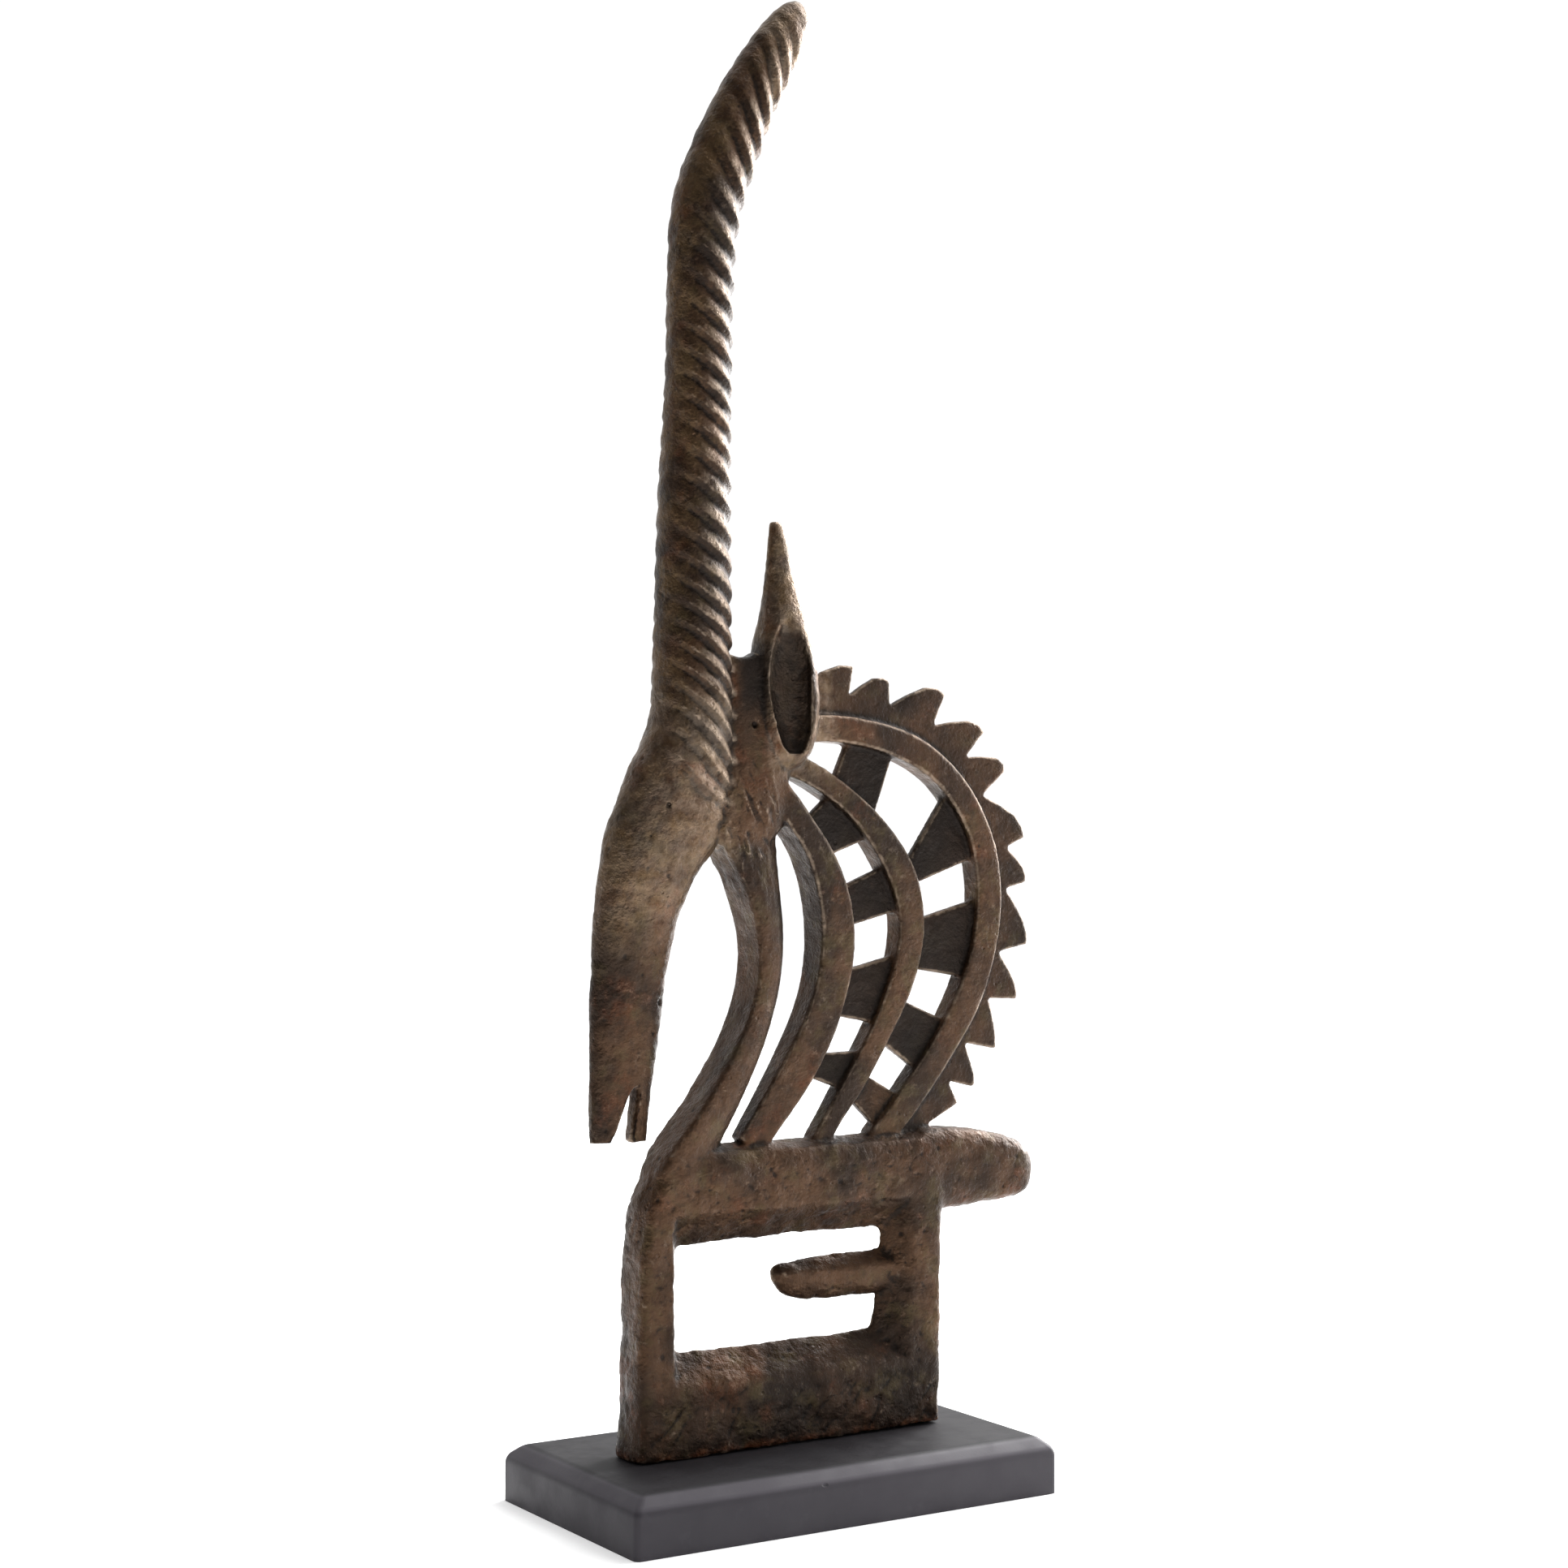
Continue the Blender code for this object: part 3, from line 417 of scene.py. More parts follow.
class HornForm:
    """The turned form of head and horn, and where each point of the casting lies on it."""

    def __init__(self, depth):
        rows = smooth_rows(HEAD_AND_HORN_ROWS, ROW_STEPS) * MM
        rows[:, 5] /= MM
        front = rows[:, 0:2]
        back = rows[:, 2:4]
        self.centre = (front + back) / 2
        across = (front - back) / 2
        self.half_width = np.linalg.norm(across, axis=1)
        self.forward = across / self.half_width[:, None]
        self.upward = np.stack([self.forward[:, 1], -self.forward[:, 0]], axis=1)
        self.half_thickness = rows[:, 4]
        self.squareness = rows[:, 5]
        steps = np.linalg.norm(np.diff(self.centre, axis=0), axis=1)
        self.length = np.concatenate([[0.0], np.cumsum(steps)])
        self.ridges_from = self.length[RIDGES_FROM * ROW_STEPS]
        self.ridge_lines = self.count_ridges()
        self.depth = depth

    def count_ridges(self):
        """Lengths up the horn a third of a ridge apart, from its first ridge to the tip."""
        end = self.length[-1]
        lines = [self.ridges_from]
        while lines[-1] < end:
            share = (lines[-1] - self.ridges_from) / (end - self.ridges_from)
            pitch = np.interp(share * (len(RIDGE_PITCHES) - 1), range(len(RIDGE_PITCHES)), RIDGE_PITCHES)
            lines.append(lines[-1] + pitch * MM / 3)
        return np.array(lines)

    def locate(self, flat):
        """Station of each point in x and z as (index, share to the next), or index -1 off the ends."""
        above = np.einsum("ij,ij->i", self.centre, self.upward)
        stations = np.full(len(flat), -1)
        shares = np.zeros(len(flat))
        at_once = 8000
        far_off = 1e9
        for start in range(0, len(flat), at_once):
            part = slice(start, start + at_once)
            heights = flat[part] @ self.upward.T - above
            between = (heights[:, :-1] >= 0) & (heights[:, 1:] < 0)
            reach = np.hypot(flat[part, :1] - self.centre[:-1, 0], flat[part, 1:] - self.centre[:-1, 1])
            best = np.argmin(np.where(between, reach, far_off), axis=1)
            rows = np.arange(len(best))
            found = between[rows, best]
            low = heights[rows, best]
            high = heights[rows, best + 1]
            shares[part] = np.where(found, low / np.maximum(low - high, TINY), 0.0)
            stations[part] = np.where(found, best, -1)
        return stations, shares

    def groove(self, along, turn):
        """Shares of the ridge depth that the horn is sunk, of dark wax with painted shadow, and of polish
        with painted highlight.
        """
        end = self.length[-1]
        rise = RIDGE_RISE * MM
        strength = rising(along, self.ridges_from, rise) * falling(along, end, rise)
        drop = RIDGE_EVEN_DROP * turn + (1 - RIDGE_EVEN_DROP) * eased(turn)
        line = along - RIDGE_SLANT * MM * strength * (0.5 - drop)
        phase = np.interp(line, self.ridge_lines, np.arange(len(self.ridge_lines)) / 3) % 1.0
        aside = FRONT_DARK + (1 - FRONT_DARK) * rising(turn, *DARK_BEGINS)
        waxed = rising(phase, *DARK_GATHERS) * falling(phase, *DARK_ENDS) * aside
        polish = falling(phase, *PALE_ENDS) * rising(turn, *PALE_BEGINS)
        return np.interp(phase, *RIDGE_PROFILE) * strength, waxed * strength, polish * strength

    def shape(self, points):
        """Each point's place on the turned form, the pull there, its dark wax with painted shadow, its
        polish with painted highlight, and its smooth front.
        """
        index, share = self.locate(points[:, (0, 2)])
        on = index >= 0
        i = np.maximum(index, 0)

        def at(values):
            low = values[i]
            high = values[i + 1]
            mix = share if values.ndim == 1 else share[:, None]
            return low + (high - low) * mix

        centre = at(self.centre)
        forward = at(self.forward)
        forward /= np.linalg.norm(forward, axis=1)[:, None]
        flat = points[:, (0, 2)] - centre
        across = np.einsum("ij,ij->i", flat, forward)
        aside = points[:, 1]
        power = at(self.squareness)
        unit = (
            np.abs(across / at(self.half_width)) ** power + np.abs(aside / at(self.half_thickness)) ** power
        ) ** (1 / power)
        radius = np.hypot(across, aside)
        full = radius / np.maximum(unit, 1e-6)
        turn = np.arccos(np.clip(across / np.maximum(radius, TINY), -1, 1)) / np.pi
        fade = FRONT_RIDGES + (1 - FRONT_RIDGES) * rising(turn, *RIDGES_BEGIN)
        groove, waxed, polish = self.groove(at(self.length), turn)
        target = full - groove * fade * self.depth
        gap = np.abs(radius - target)
        pull = np.where(on, 1 - rising(gap, DRAW_WHOLE, DRAW_FADE), 0.0)
        scale = target / np.maximum(radius, TINY)
        moved = points.copy()
        moved[:, 0] = centre[:, 0] + flat[:, 0] * scale
        moved[:, 2] = centre[:, 1] + flat[:, 1] * scale
        moved[:, 1] = aside * scale
        front = falling(turn, *FRONT_ENDS) * rising(at(self.length), self.ridges_from, 25 * MM)
        return moved, pull, (waxed * pull, polish * pull, front * pull)


def melted_copy(name, node):
    """One even skin of the CAD solid, as a new piece."""
    piece = bpy.data.objects.new(name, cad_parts[node].data.copy())
    piece.data.name = name
    piece.data.materials.clear()
    bpy.context.scene.collection.objects.link(piece)
    take_up(piece)
    bpy.ops.object.mode_set(mode="EDIT")
    bpy.ops.mesh.select_all(action="SELECT")
    bpy.ops.mesh.remove_doubles(threshold=0.01 * MM)
    bpy.ops.object.mode_set(mode="OBJECT")
    apply_modifier(piece, "REMESH", mode="VOXEL", voxel_size=SKIN_VOXEL)
    return piece


def in_lattice(points):
    """Share by which each point belongs to the crisp ribs, webs and crest."""
    x, _, z = points.T
    ring = np.hypot(x - LATTICE_CENTRE[0], z - LATTICE_CENTRE[1])
    inside = (x > LATTICE_FRONT) & (z > BACK_LEVEL) & (ring < LATTICE_REACH)
    ear = (x < 0.026) & (z > 0.358)
    return np.where(inside & ~ear, 1.0, 0.0)


def soften(piece):
    """Melt away the solid's facets, least on lattice and ear, and round the body's outer edges."""
    points = get_points(piece.data)
    ear = (points[:, 0] > -0.018) & (points[:, 0] < 0.027) & (points[:, 2] > 0.350)
    crisp = np.maximum(in_lattice(points), 0.7 * ear)[:, None]
    light = neighbours_mean(piece.data, points, 2)
    heavy = neighbours_mean(piece.data, light, 7)
    keep = neighbours_mean(piece.data, crisp, 6)
    points = heavy + (light - heavy) * keep

    # The outer edges of body and legs are rounded further, from the seat up to the edge of the back.
    x, _, z = points.T
    run = 0.006
    edge = np.maximum(rising(z, BODY_MIDDLE, 0.008), eased((x - LEGS_BACK + 0.014) / run))
    edge = np.maximum(edge, falling(x, LEGS_FRONT + 0.012, run))
    edge *= falling(z, BACK_LEVEL - 0.002, run) * rising(z, SEAT_TOP, run)
    round_share = neighbours_mean(piece.data, edge[:, None], 6)
    for _ in range(4):
        points = points + (neighbours_mean(piece.data, points, 8) - points) * round_share
    set_points(piece.data, points)


def fillet(distance, radius):
    """Height of a round fillet at a distance from the wall it runs up."""
    inside = np.clip(radius - distance, 0, radius)
    return radius - np.sqrt(radius ** 2 - inside ** 2)


def fill_saddle(piece, pull):
    """Run the top of the poll in round curves up to the horn and the ear."""
    points = get_points(piece.data)
    x, _, z = points.T
    # First the fillets themselves, then a light smoothing of their ends.
    rise = fillet(x - SADDLE_FRONT, HORN_FILLET) + fillet(SADDLE_BACK - x, EAR_FILLET)
    on = (x > SADDLE_FRONT - 3 * MM) & (x < SADDLE_BACK) & (z < SADDLE_TOP + 2 * MM)
    near_top = eased((z - SADDLE_TOP + 16 * MM) / (15 * MM))
    points[:, 2] += np.where(on, rise * near_top * (1 - pull), 0.0)
    reach = np.hypot(points[:, 0] - (SADDLE_FRONT + SADDLE_BACK) / 2, points[:, 2] - SADDLE_TOP)
    share = (falling(reach, 15 * MM, 5 * MM) * (1 - pull))[:, None]
    for _ in range(3):
        points = points + (neighbours_mean(piece.data, points, 5) - points) * share
    set_points(piece.data, points)


def dent(points, normals, tree, centre, radius, depth):
    """Press one round dent into the skin."""
    for _, index, distance in tree.find_range(centre, radius):
        push = depth * eased(1 - distance / radius)
        points[index] -= normals[index] * push


def carve_relief(piece, settings):
    """Lumps, creases, runs, grain, holes and dents of a sand casting, pressed into the skin."""
    mesh = piece.data
    points = get_points(mesh)
    normals = get_normals(mesh)
    x, y, z = points.T
    crisp = neighbours_mean(mesh, in_lattice(points)[:, None], 4)[:, 0]
    body = falling(z, BACK_LEVEL + 0.012, 0.024)
    head = rising(z, 0.175, 0.02) * falling(x, LATTICE_FRONT, 0.02) * falling(z, 0.40, 0.04)
    calm = 1 - 0.7 * crisp
    lumps = noise_over(points, LUMP_SIZE, octaves=3, shift=3.1) * (0.4 + 1.3 * body + 0.9 * head) * calm
    beaten = 1 - np.abs(noise_over(points, BEATEN_SIZE, (1.3, 1.0, 1.0), shift=11.7)) * 2
    beaten = np.clip(beaten, 0, 1) ** 2 * (0.15 + 0.85 * body + 0.35 * head) * calm
    move = settings.lump_height * (lumps - 0.55 * beaten)

    # Slanted creases across the foot bar.
    slanted = points @ np.array([[0.82, 0.0, 0.57], [0.0, 1.0, 0.0], [-0.57, 0.0, 0.82]])
    crease = 1 - np.abs(noise_over(slanted, CREASE_SIZE, (1.0, 1.0, 2.4), 3, 5.3)) * 3.0
    foot = falling(z, FOOT_TOP, 0.012) * rising(np.abs(y), 0.006, 0.004)
    move -= np.clip(crease, 0, 1) ** 2 * CREASE_DEPTH * foot

    # The melted look of the forehead behind the horn.
    lean = points @ np.array([[0.93, 0.0, -0.36], [0.0, 1.0, 0.0], [0.36, 0.0, 0.93]])
    runs = 1 - np.abs(noise_over(lean, RUN_SIZE, (1.0, 1.0, 3.4), 3, 23.0)) * 2.6
    forehead = np.exp(-(((x + 0.020) / 0.022) ** 2 + ((z - 0.334) / 0.030) ** 2))
    move += (np.clip(runs, 0, 1) - 0.35) * RUN_HEIGHT * forehead

    # Sand grain, then single holes and strewn dents.
    move += noise_over(points, GRAIN_SIZE, shift=41.0) * GRAIN_HEIGHT * (1 - 0.45 * crisp)
    points += normals * move[:, None]

    tree = kdtree.KDTree(len(points))
    for index, point in enumerate(points.tolist()):
        tree.insert(point, index)
    tree.balance()
    for hole_x, hole_z, radius, depth in NEAR_SIDE_HOLES:
        off = np.hypot(x - hole_x * MM, z - hole_z * MM) - y * 0.05
        off[normals[:, 1] > -0.3] = 1.0
        centre = points[int(np.argmin(off))].copy()
        dent(points, normals, tree, centre, radius * MM, depth * MM)
    random = np.random.default_rng(DENT_SEED)
    odds = 0.15 + 1.0 * body + 1.1 * head
    odds *= 1 - 0.75 * crisp
    for index in random.choice(len(points), STREWN_DENTS, replace=False, p=odds / odds.sum()):
        radius = random.uniform(0.9, 2.6) * MM
        dent(points, normals, tree, points[index].copy(), radius, radius * random.uniform(0.12, 0.32))
    set_points(mesh, points)


def in_ear_cup(x, z):
    """Share by which each point lies within the outline of the ear's cup, seen from the side."""
    off = ((x - CUP_CENTRE[0]) / CUP_HALF[0]) ** 2
    return eased((1 - off - ((z - CUP_CENTRE[1]) / CUP_HALF[1]) ** 2) / 0.3)


def mark_wear_and_shade(piece):
    """Store where the skin is rubbed, hollow or sunk, which later get dark wax and painted shade, or
    freshly rusted.
    """
    mesh = piece.data
    points = get_points(mesh)
    normals = get_normals(mesh)
    fine_rise = np.einsum("ij,ij->i", points - neighbours_mean(mesh, points, 6), normals)
    broad_rise = np.einsum("ij,ij->i", points - neighbours_mean(mesh, points, 30), normals)
    store(mesh, "wear", np.clip(fine_rise / FULL_WEAR, 0, 1))
    store(mesh, "hollow", np.clip(-fine_rise / FINE_HOLLOW - broad_rise / BROAD_HOLLOW, 0, 1))

    # Sunk are the webs' flat sides, the poll's dip and the ear's cup, which get dark patina and painted
    # shade.
    x, y, z = points.T
    ring = np.hypot(x - LATTICE_CENTRE[0], z - LATTICE_CENTRE[1])
    flat = falling(np.abs(y), 3.7 * MM, 0.8 * MM) * rising(np.abs(normals[:, 1]), 0.6, 0.3)
    web = in_lattice(points) * flat * np.where(ring < WEB_REACH, 1.0, 0.35)
    dip = np.exp(-(((x + 0.0200) / 0.0095) ** 4) - np.maximum(0.402 - z, 0) ** 2 / 0.013 ** 2)
    dip *= falling(z, 0.432, 0.010) * (x > -0.034)
    sunk = np.maximum.reduce([web, dip, 0.8 * in_ear_cup(x, z)])
    store(mesh, "sunk", neighbours_mean(mesh, sunk[:, None], 2)[:, 0])

    # Fresh rust blooms where the casting stands and in the seam behind the horn.
    seat = falling(z, 0.0350, 0.006)
    seam = np.exp(-(((x + 0.0312) / 0.0024) ** 2)) * rising(z, 0.362, 0.01) * falling(z, SADDLE_TOP, 0.02)
    store(mesh, "bloom", np.maximum(seat, 0.5 * seam))


def mark_polish_and_light(piece, form):
    """Store where the skin is waxed dark with painted shadow, polished with painted highlight, or smooth
    and warm like the horn's front.
    """
    points = get_points(piece.data)
    waxed, polish, front = form.shape(points)[2]
    x, _, z = points.T
    ear = rising(z, 0.352, 0.02) * rising(x, -0.016, 0.004) * falling(x, 0.030, 0.004)
    ear *= 1 - 0.85 * in_ear_cup(x, z)
    brow = 0.9 * rising(z, 0.262, 0.04) * falling(z, 0.410, 0.02) * falling(x, -0.030, 0.01)
    store(piece.data, "waxed", waxed)
    store(piece.data, "polish", np.maximum.reduce([polish, 0.4 * ear, 0.3 * brow]))
    store(piece.data, "front", np.maximum.reduce([front, ear, brow]))


class CHIWARA_OT_antelope(bpy.types.Operator):
    """Cast the antelope: one skin made from the CAD solid, ridged, lumped and pitted"""

    bl_idname = "chiwara.antelope"
    bl_label = "Antelope casting"

    def execute(self, context):
        settings = context.scene.chiwara_casting
        piece = melted_copy("antelope_casting", "antelope")
        soften(piece)
        form = HornForm(settings.ridge_depth)
        points = get_points(piece.data)
        moved, pull, _ = form.shape(points)
        set_points(piece.data, points + (moved - points) * pull[:, None])
        fill_saddle(piece, pull)
        carve_relief(piece, settings)
        mark_wear_and_shade(piece)
        # Each face of the skin is a square, so two triangles.
        apply_modifier(piece, "DECIMATE", ratio=min(1.0, SKIN_TRIANGLES / (len(piece.data.polygons) * 2)))
        set_points(piece.data, np.clip(get_points(piece.data), *ANTELOPE_BOX))
        mark_polish_and_light(piece, form)
        take_up(piece)
        bpy.ops.object.shade_smooth()
        piece.data.materials.append(patinated_iron(settings))
        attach(piece, "root")
        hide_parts("antelope")
        return {"FINISHED"}


def select_where(piece, test):
    """Select the vertices that pass a test, in vertex mode, and leave edit mode open."""
    bpy.ops.object.mode_set(mode="EDIT")
    bpy.ops.mesh.select_mode(type="VERT")
    bpy.ops.mesh.select_all(action="DESELECT")
    shell = bmesh.from_edit_mesh(piece.data)
    for vertex in shell.verts:
        vertex.select_set(bool(test(vertex.co)))
    shell.select_flush(True)
    bmesh.update_edit_mesh(piece.data)


def ball_cut(piece, centre, radius, stretch):
    """Knock one rounded ding out of a piece."""
    deselect_all()
    bpy.ops.mesh.primitive_ico_sphere_add(subdivisions=3, radius=radius, location=centre)
    tool = bpy.context.object
    tool.scale = stretch
    bpy.ops.object.transform_apply(location=True, rotation=True, scale=True)
    apply_modifier(piece, "BOOLEAN", object=tool, operation="DIFFERENCE", solver="EXACT")
    bpy.data.objects.remove(tool, do_unlink=True)


class CHIWARA_OT_plinth(bpy.types.Operator):
    """Build the plinth: a bevelled block with rounded edges and two small dings"""

    bl_idname = "chiwara.plinth"
    bl_label = "Plinth"

    def execute(self, context):
        settings = context.scene.chiwara_plinth
        low, high = PLINTH_BOX
        size = high - low
        deselect_all()
        # The block starts below the floor and is cut there later, so its lowest edges stay sharp.
        buried = 8 * MM
        bpy.ops.mesh.primitive_cube_add(size=1, location=(0, 0, (settings.side_height - buried) / 2))
        piece = bpy.context.object
        piece.name = "plinth_block"
        piece.data.name = "plinth_block"
        piece.scale = (size.x, size.y, settings.side_height + buried)
        bpy.ops.object.transform_apply(location=True, rotation=True, scale=True)
        select_where(piece, lambda place: place.z > settings.side_height * 0.5)
        rise = high.z - settings.side_height
        bpy.ops.mesh.extrude_region_move(TRANSFORM_OT_translate={"value": (0, 0, rise)})
        shrink = [1 - 2 * settings.bevel_run / side for side in (size.x, size.y)]
        bpy.ops.transform.resize(value=(shrink[0], shrink[1], 1), center_override=(0, 0, high.z))
        bpy.ops.mesh.select_mode(type="EDGE")
        bpy.ops.mesh.select_all(action="DESELECT")
        shell = bmesh.from_edit_mesh(piece.data)
        for edge in shell.edges:
            a, b = (vertex.co for vertex in edge.verts)
            edge.select_set(abs(a.z - b.z) > 1 * MM)
        bmesh.update_edit_mesh(piece.data)
        bpy.ops.mesh.bevel(offset=settings.corner_radius, segments=4)
        bpy.ops.object.mode_set(mode="OBJECT")
        apply_modifier(
            piece, "BEVEL", width=settings.edge_rounding, segments=6,
            limit_method="ANGLE", angle_limit=math.radians(28),
        )
        bpy.ops.object.mode_set(mode="EDIT")
        bpy.ops.mesh.select_all(action="SELECT")
        bpy.ops.mesh.bisect(plane_co=(0, 0, 0), plane_no=(0, 0, 1), use_fill=True, clear_inner=True)
        bpy.ops.object.mode_set(mode="OBJECT")
        for place_x, radius, stretch in PLINTH_DINGS:
            centre = (place_x * MM, low.y - 0.25 * MM, settings.side_height + 0.3 * MM)
            ball_cut(piece, centre, radius * MM, (stretch, 1.0, 1.0))
        take_up(piece)
        bpy.ops.object.shade_smooth_by_angle(angle=math.radians(24))
        piece.data.materials.append(charcoal_paint(settings))
        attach(piece, "root")
        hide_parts("plinth")
        return {"FINISHED"}


def add_node(tree, kind, settings=None, links=None):
    """Add a node to a tree; settings are its own or its sockets' values, links feed its sockets."""
    node = tree.nodes.new(kind)
    for key, value in (settings or {}).items():
        if isinstance(key, str) and hasattr(node, key):
            setattr(node, key, value)
        else:
            node.inputs[key].default_value = value
    for key, source in (links or {}).items():
        tree.links.new(source, node.inputs[key])
    return node


def feed(tree, socket, source):
    """Link an input socket to a source socket, or set it to a value."""
    if isinstance(source, bpy.types.NodeSocket):
        tree.links.new(source, socket)
    else:
        socket.default_value = source


def new_material(name):
    """Empty node material, its tree, its Principled shader and the Object coordinates."""
    finish = bpy.data.materials.new(name)
    finish.use_nodes = True
    tree = finish.node_tree
    shader = tree.nodes["Principled BSDF"]
    place = add_node(tree, "ShaderNodeTexCoord").outputs["Object"]
    return finish, tree, shader, place


def cloud(tree, place, size, detail, roughness):
    """Cloudy noise with features of the given size in metres."""
    settings = {"Scale": 1 / size, "Detail": detail, "Roughness": roughness}
    return add_node(tree, "ShaderNodeTexNoise", settings, {"Vector": place}).outputs["Fac"]


def mottle(tree, place, size, detail, low, high, roughness=0.55):
    """Soft-edged patches of the given size in metres, from 0 to 1."""
    return ramp(tree, cloud(tree, place, size, detail, roughness), low, high)


def calculate(tree, operation, *terms):
    """Result of a math node; each term is a socket or a number."""
    node = add_node(tree, "ShaderNodeMath", {"operation": operation})
    for socket, term in zip(node.inputs, terms):
        feed(tree, socket, term)
    return node.outputs[0]


def times(tree, a, b):
    """Product of two terms, each a socket or a number."""
    return calculate(tree, "MULTIPLY", a, b)


def ramp(tree, value, low, high, to_low=0.0, to_high=1.0):
    """A socket's value stretched from one range to another."""
    settings = {
        "interpolation_type": "SMOOTHSTEP",
        "From Min": low, "From Max": high, "To Min": to_low, "To Max": to_high,
    }
    return add_node(tree, "ShaderNodeMapRange", settings, {"Value": value}).outputs["Result"]


def blend_colour(tree, share, below, above):
    """Mix of a colour below, a socket or a value, with a colour value above, by a share socket."""
    node = add_node(tree, "ShaderNodeMix", {"data_type": "RGBA"}, {0: share})
    feed(tree, node.inputs[6], below if isinstance(below, bpy.types.NodeSocket) else (*below, 1.0))
    feed(tree, node.inputs[7], (*above, 1.0))
    return node.outputs[2]


def lay_over(tree, colour, layers):
    """Lay colours over a first one, each by a share socket and a strength."""
    for share, strength, above in layers:
        colour = blend_colour(tree, times(tree, share, strength), colour, above)
    return colour


def patinated_iron(settings):
    """Sand-cast iron with a waxed brown patina.

    The patina gives a warm, uneven brown with orange rust and grey-green bloom; wax, dirt and painted
    shade darken the hollows, rubbed edges show paler metal, and polished faces paler, smoother metal as a
    painted highlight.
    """
    finish, tree, shader, place = new_material("patinated cast iron")
    wear, hollow, sunk, waxed, polish, front, bloom = (
        add_node(tree, "ShaderNodeAttribute", {"attribute_name": name}).outputs["Fac"]
        for name in ("wear", "hollow", "sunk", "waxed", "polish", "front", "bloom")
    )
    level = add_node(tree, "ShaderNodeSeparateXYZ", links={"Vector": place}).outputs["Z"]

    # Slow drift between brown and umber, then a dark foot and blooms of olive, ochre and rust. The numbers
    # of a mottle are its size, detail, the two noise levels it rises between, and roughness.
    drift = mottle(tree, place, 45 * MM, 3.0, 0.38, 0.62)
    foot = ramp(tree, level, FOOT_TOP + 5 * MM, FOOT_TOP - 6 * MM)
    olive = mottle(tree, place, 15 * MM, 5.0, 0.50, 0.68, 0.62)
    ochre = times(tree, front, mottle(tree, place, 17 * MM, 5.0, 0.40, 0.62, 0.65))
    rust = mottle(tree, place, 24 * MM, 6.0, 0.54, 0.72, 0.68)
    fresh = times(tree, bloom, mottle(tree, place, 12 * MM, 4.0, 0.35, 0.6, 0.6))
    speckle = mottle(tree, place, 4.2 * MM, 5.0, 0.46, 0.68, 0.72)
    dust = mottle(tree, place, 6 * MM, 5.0, 0.56, 0.74, 0.75)

    # Dark wax and painted shade on the webs, in hollows and on the undercut side of each ridge.
    deep = ramp(tree, hollow, 0.10, 0.85)
    undercut = times(tree, waxed, mottle(tree, place, 8 * MM, 5.0, 0.26, 0.58, 0.7))

    # Polished faces, with a painted highlight on the horn ridges' upper slopes, and rubbed edges.
    shine = times(tree, polish, mottle(tree, place, 7 * MM, 5.0, 0.30, 0.62, 0.65))
    rubbed = times(tree, ramp(tree, wear, 0.40, 1.0), mottle(tree, place, 6 * MM, 4.0, 0.28, 0.60, 0.6))

    # From the lowest to the highest: where each colour lies, how strongly, and the colour.
    colour = lay_over(tree, blend_colour(tree, drift, settings.umber, settings.brown), (
        (foot, 0.55, settings.grime_and_shade),
        (olive, 0.45, settings.olive),
        (ochre, 0.60, settings.ochre),
        (rust, 0.50, settings.rust),
        (fresh, 0.75, settings.fresh_rust),
        (speckle, 0.50, settings.umber),
        (dust, 0.16, settings.rubbed),
        # Painted shade with dark wax: the grime colour darkens recesses, hollows and the ridges' undercuts.
        (sunk, 0.88, settings.grime_and_shade),
        (deep, 0.85, settings.grime_and_shade),
        (undercut, 0.66, settings.grime_and_shade),
        # Painted highlight: pale metal on the polished ridge slopes, partly real polish.
        (shine, 0.52, settings.rubbed),
        (rubbed, 0.42, settings.rubbed),
    ))
    tree.links.new(colour, shader.inputs["Base Color"])
    uneven = ramp(tree, mottle(tree, place, 9 * MM, 4.0, 0.3, 0.7), 0.0, 1.0, 0.34, 0.52)
    rough = calculate(tree, "SUBTRACT", uneven, times(tree, shine, 0.12))
    tree.links.new(rough, shader.inputs["Roughness"])
    shader.inputs["Metallic"].default_value = 0.75

    # Sand grain on small swells, and the round pits left by gas.
    grain = cloud(tree, place, 1.7 * MM, 4.0, 0.62)
    swells = cloud(tree, place, 5.8 * MM, 3.0, 0.6)
    cells = add_node(tree, "ShaderNodeTexVoronoi", {"Scale": 1 / (4.6 * MM)}, {"Vector": place})
    few = mottle(tree, place, 14 * MM, 2.0, 0.56, 0.66)
    pits = times(tree, ramp(tree, cells.outputs["Distance"], 0.26, 0.10), few)
    skin = calculate(tree, "MULTIPLY_ADD", swells, 2.0, grain)
    height = calculate(tree, "SUBTRACT", skin, times(tree, pits, 0.8))
    bump = add_node(tree, "ShaderNodeBump", {"Strength": 0.9, "Distance": 0.6 * MM}, {"Height": height})
    tree.links.new(bump.outputs["Normal"], shader.inputs["Normal"])
    return finish


def shade(colour, factor):
    """A colour made darker or paler by a factor."""
    return tuple(c * factor for c in colour)


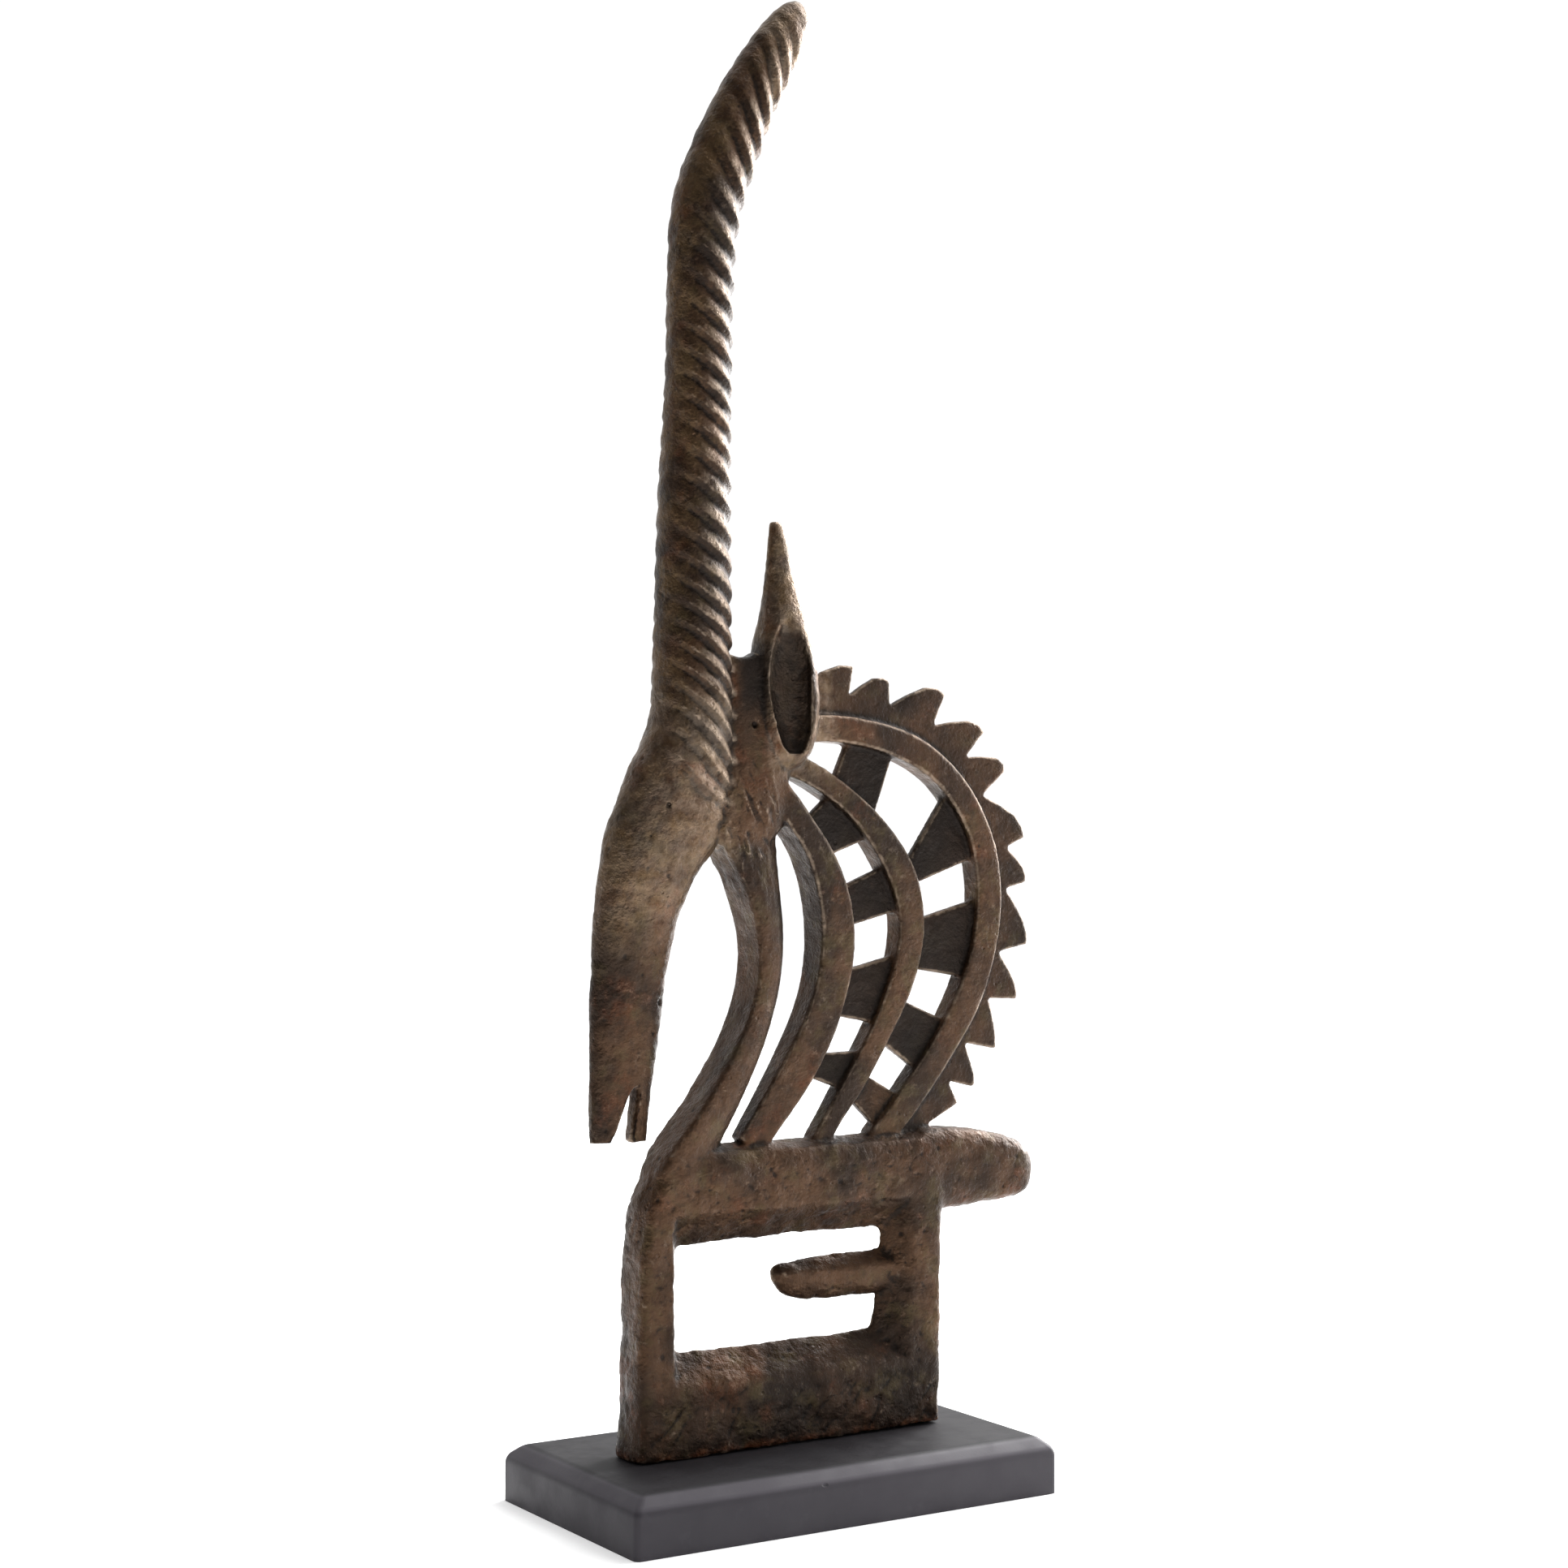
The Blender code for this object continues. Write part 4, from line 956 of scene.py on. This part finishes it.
def charcoal_paint(settings):
    """Charcoal satin paint over a ground block.

    It is nearly even, with faint cloudy patches, a top darkened as painted shade and a bevel made pale
    as a painted highlight, and a very fine orange peel softens the shine.
    """
    finish, tree, shader, place = new_material("charcoal satin paint")
    paint = settings.paint
    level = add_node(tree, "ShaderNodeSeparateXYZ", links={"Vector": place}).outputs["Z"]
    top_height = PLINTH_BOX[1].z
    drift = mottle(tree, place, 60 * MM, 4.0, 0.35, 0.65)
    patches = mottle(tree, place, 11 * MM, 5.0, 0.55, 0.75, 0.7)
    # Painted light: the bevel band is made paler as a painted highlight, and the top face darker as painted
    # shade.
    bevel = ramp(tree, level, settings.side_height - 0.8 * MM, settings.side_height + 1.0 * MM)
    top = ramp(tree, level, top_height - 1.2 * MM, top_height - 0.1 * MM)
    colour = lay_over(tree, blend_colour(tree, drift, shade(paint, 0.86), paint), (
        (patches, 0.50, shade(paint, 1.22)),
        (bevel, 0.80, shade(paint, 1.7)),
        (top, 0.95, shade(paint, 0.32)),
    ))
    tree.links.new(colour, shader.inputs["Base Color"])
    rough = ramp(tree, mottle(tree, place, 18 * MM, 4.0, 0.3, 0.7), 0.0, 1.0, 0.50, 0.62)
    tree.links.new(rough, shader.inputs["Roughness"])
    shader.inputs["Specular IOR Level"].default_value = 0.22
    peel = cloud(tree, place, 1.4 * MM, 2.0, 0.5)
    bump = add_node(tree, "ShaderNodeBump", {"Strength": 0.22, "Distance": 0.2 * MM}, {"Height": peel})
    tree.links.new(bump.outputs["Normal"], shader.inputs["Normal"])
    return finish


def white_floor():
    """Matt white light table: even, faintly lit from below and almost without shine."""
    finish, tree, shader, place = new_material("white studio floor")
    patches = mottle(tree, place, 1.5, 2.0, 0.3, 0.7)
    colour = blend_colour(tree, patches, linear("FBFBFB"), linear("FDFDFD"))
    tree.links.new(colour, shader.inputs["Base Color"])
    shader.inputs["Emission Color"].default_value = (1, 1, 1, 1)
    shader.inputs["Emission Strength"].default_value = 0.42
    shader.inputs["Roughness"].default_value = 0.9
    return finish


def area_light(name, place, size, power):
    """Soft light at a place, turned to the object and not seen itself."""
    data = bpy.data.lights.new(name, "AREA")
    data.shape = "RECTANGLE"
    data.size, data.size_y = size
    data.energy = power
    lamp = bpy.data.objects.new(name, data)
    lamp.location = place
    lamp.rotation_euler = (Vector(LIGHT_AIM) - Vector(place)).to_track_quat("-Z", "Y").to_euler()
    lamp.visible_camera = False
    bpy.context.scene.collection.objects.link(lamp)


def white_room(settings):
    """World of a white room that lights the object from its bright side and looks white itself."""
    world = bpy.data.worlds.new("white room")
    world.use_nodes = True
    tree = world.node_tree
    toward = add_node(tree, "ShaderNodeTexCoord").outputs["Object"]
    facing = add_node(
        tree, "ShaderNodeVectorMath", {"operation": "DOT_PRODUCT", 1: BRIGHT_SIDE}, {0: toward},
    )
    glow = ramp(tree, facing.outputs["Value"], -0.20, 0.60, settings.dim_side, settings.room_light)
    seen = add_node(tree, "ShaderNodeLightPath").outputs["Is Camera Ray"]
    background = tree.nodes["Background"]
    background.inputs["Color"].default_value = (1, 1, 1, 1)
    tree.links.new(calculate(tree, "MAXIMUM", glow, seen), background.inputs["Strength"])
    return world


class CHIWARA_OT_stage(bpy.types.Operator):
    """Lay the white floor, hang the lights, light the room and place the camera"""

    bl_idname = "chiwara.stage"
    bl_label = "Studio"

    def execute(self, context):
        settings = context.scene.chiwara_stage
        deselect_all()
        bpy.ops.mesh.primitive_plane_add(size=settings.floor_size, location=(0, 0, 0))
        floor = bpy.context.object
        floor.name = "studio_floor"
        floor.data.name = "studio_floor"
        floor.data.materials.append(white_floor())
        context.scene.view_settings.view_transform = "Standard"
        for name, place, size in LIGHTS:
            area_light(name, place, size, getattr(settings, name + "_power"))
        context.scene.world = white_room(settings)
        lens = bpy.data.cameras.new("camera")
        lens.sensor_width = 36.0
        lens.lens = CAMERA_LENS
        camera = bpy.data.objects.new("camera", lens)
        camera.location = CAMERA_PLACE
        camera.rotation_euler = (math.radians(90), 0, math.radians(CAMERA_TURN))
        context.scene.collection.objects.link(camera)
        context.scene.camera = camera
        return {"FINISHED"}


class CHIWARA_PT_panel(bpy.types.Panel):
    """Lists the builders and their settings."""

    bl_label = "Chiwara antelope"
    bl_idname = "CHIWARA_PT_panel"
    bl_space_type = "VIEW_3D"
    bl_region_type = "UI"
    bl_category = "Chiwara"

    def draw(self, context):
        for operator, group in (
            (CHIWARA_OT_antelope, "chiwara_casting"),
            (CHIWARA_OT_plinth, "chiwara_plinth"),
            (CHIWARA_OT_stage, "chiwara_stage"),
        ):
            box = self.layout.box()
            box.operator(operator.bl_idname)
            settings = getattr(context.scene, group)
            for name in settings.__annotations__:
                box.prop(settings, name)


GROUPS = {
    "chiwara_casting": CastingSettings,
    "chiwara_plinth": PlinthSettings,
    "chiwara_stage": StageSettings,
}
CLASSES = (*GROUPS.values(), CHIWARA_OT_antelope, CHIWARA_OT_plinth, CHIWARA_OT_stage, CHIWARA_PT_panel)


def register():
    """Register the settings, the operators and the panel."""
    for cls in CLASSES:
        bpy.utils.register_class(cls)
    for name, group in GROUPS.items():
        setattr(bpy.types.Scene, name, PointerProperty(type=group))


def unregister():
    """Take them away again."""
    for name in GROUPS:
        delattr(bpy.types.Scene, name)
    for cls in reversed(CLASSES):
        bpy.utils.unregister_class(cls)


def main():
    register()
    bpy.ops.chiwara.antelope()
    bpy.ops.chiwara.plinth()
    bpy.ops.chiwara.stage()


if __name__ == "__main__":
    main()
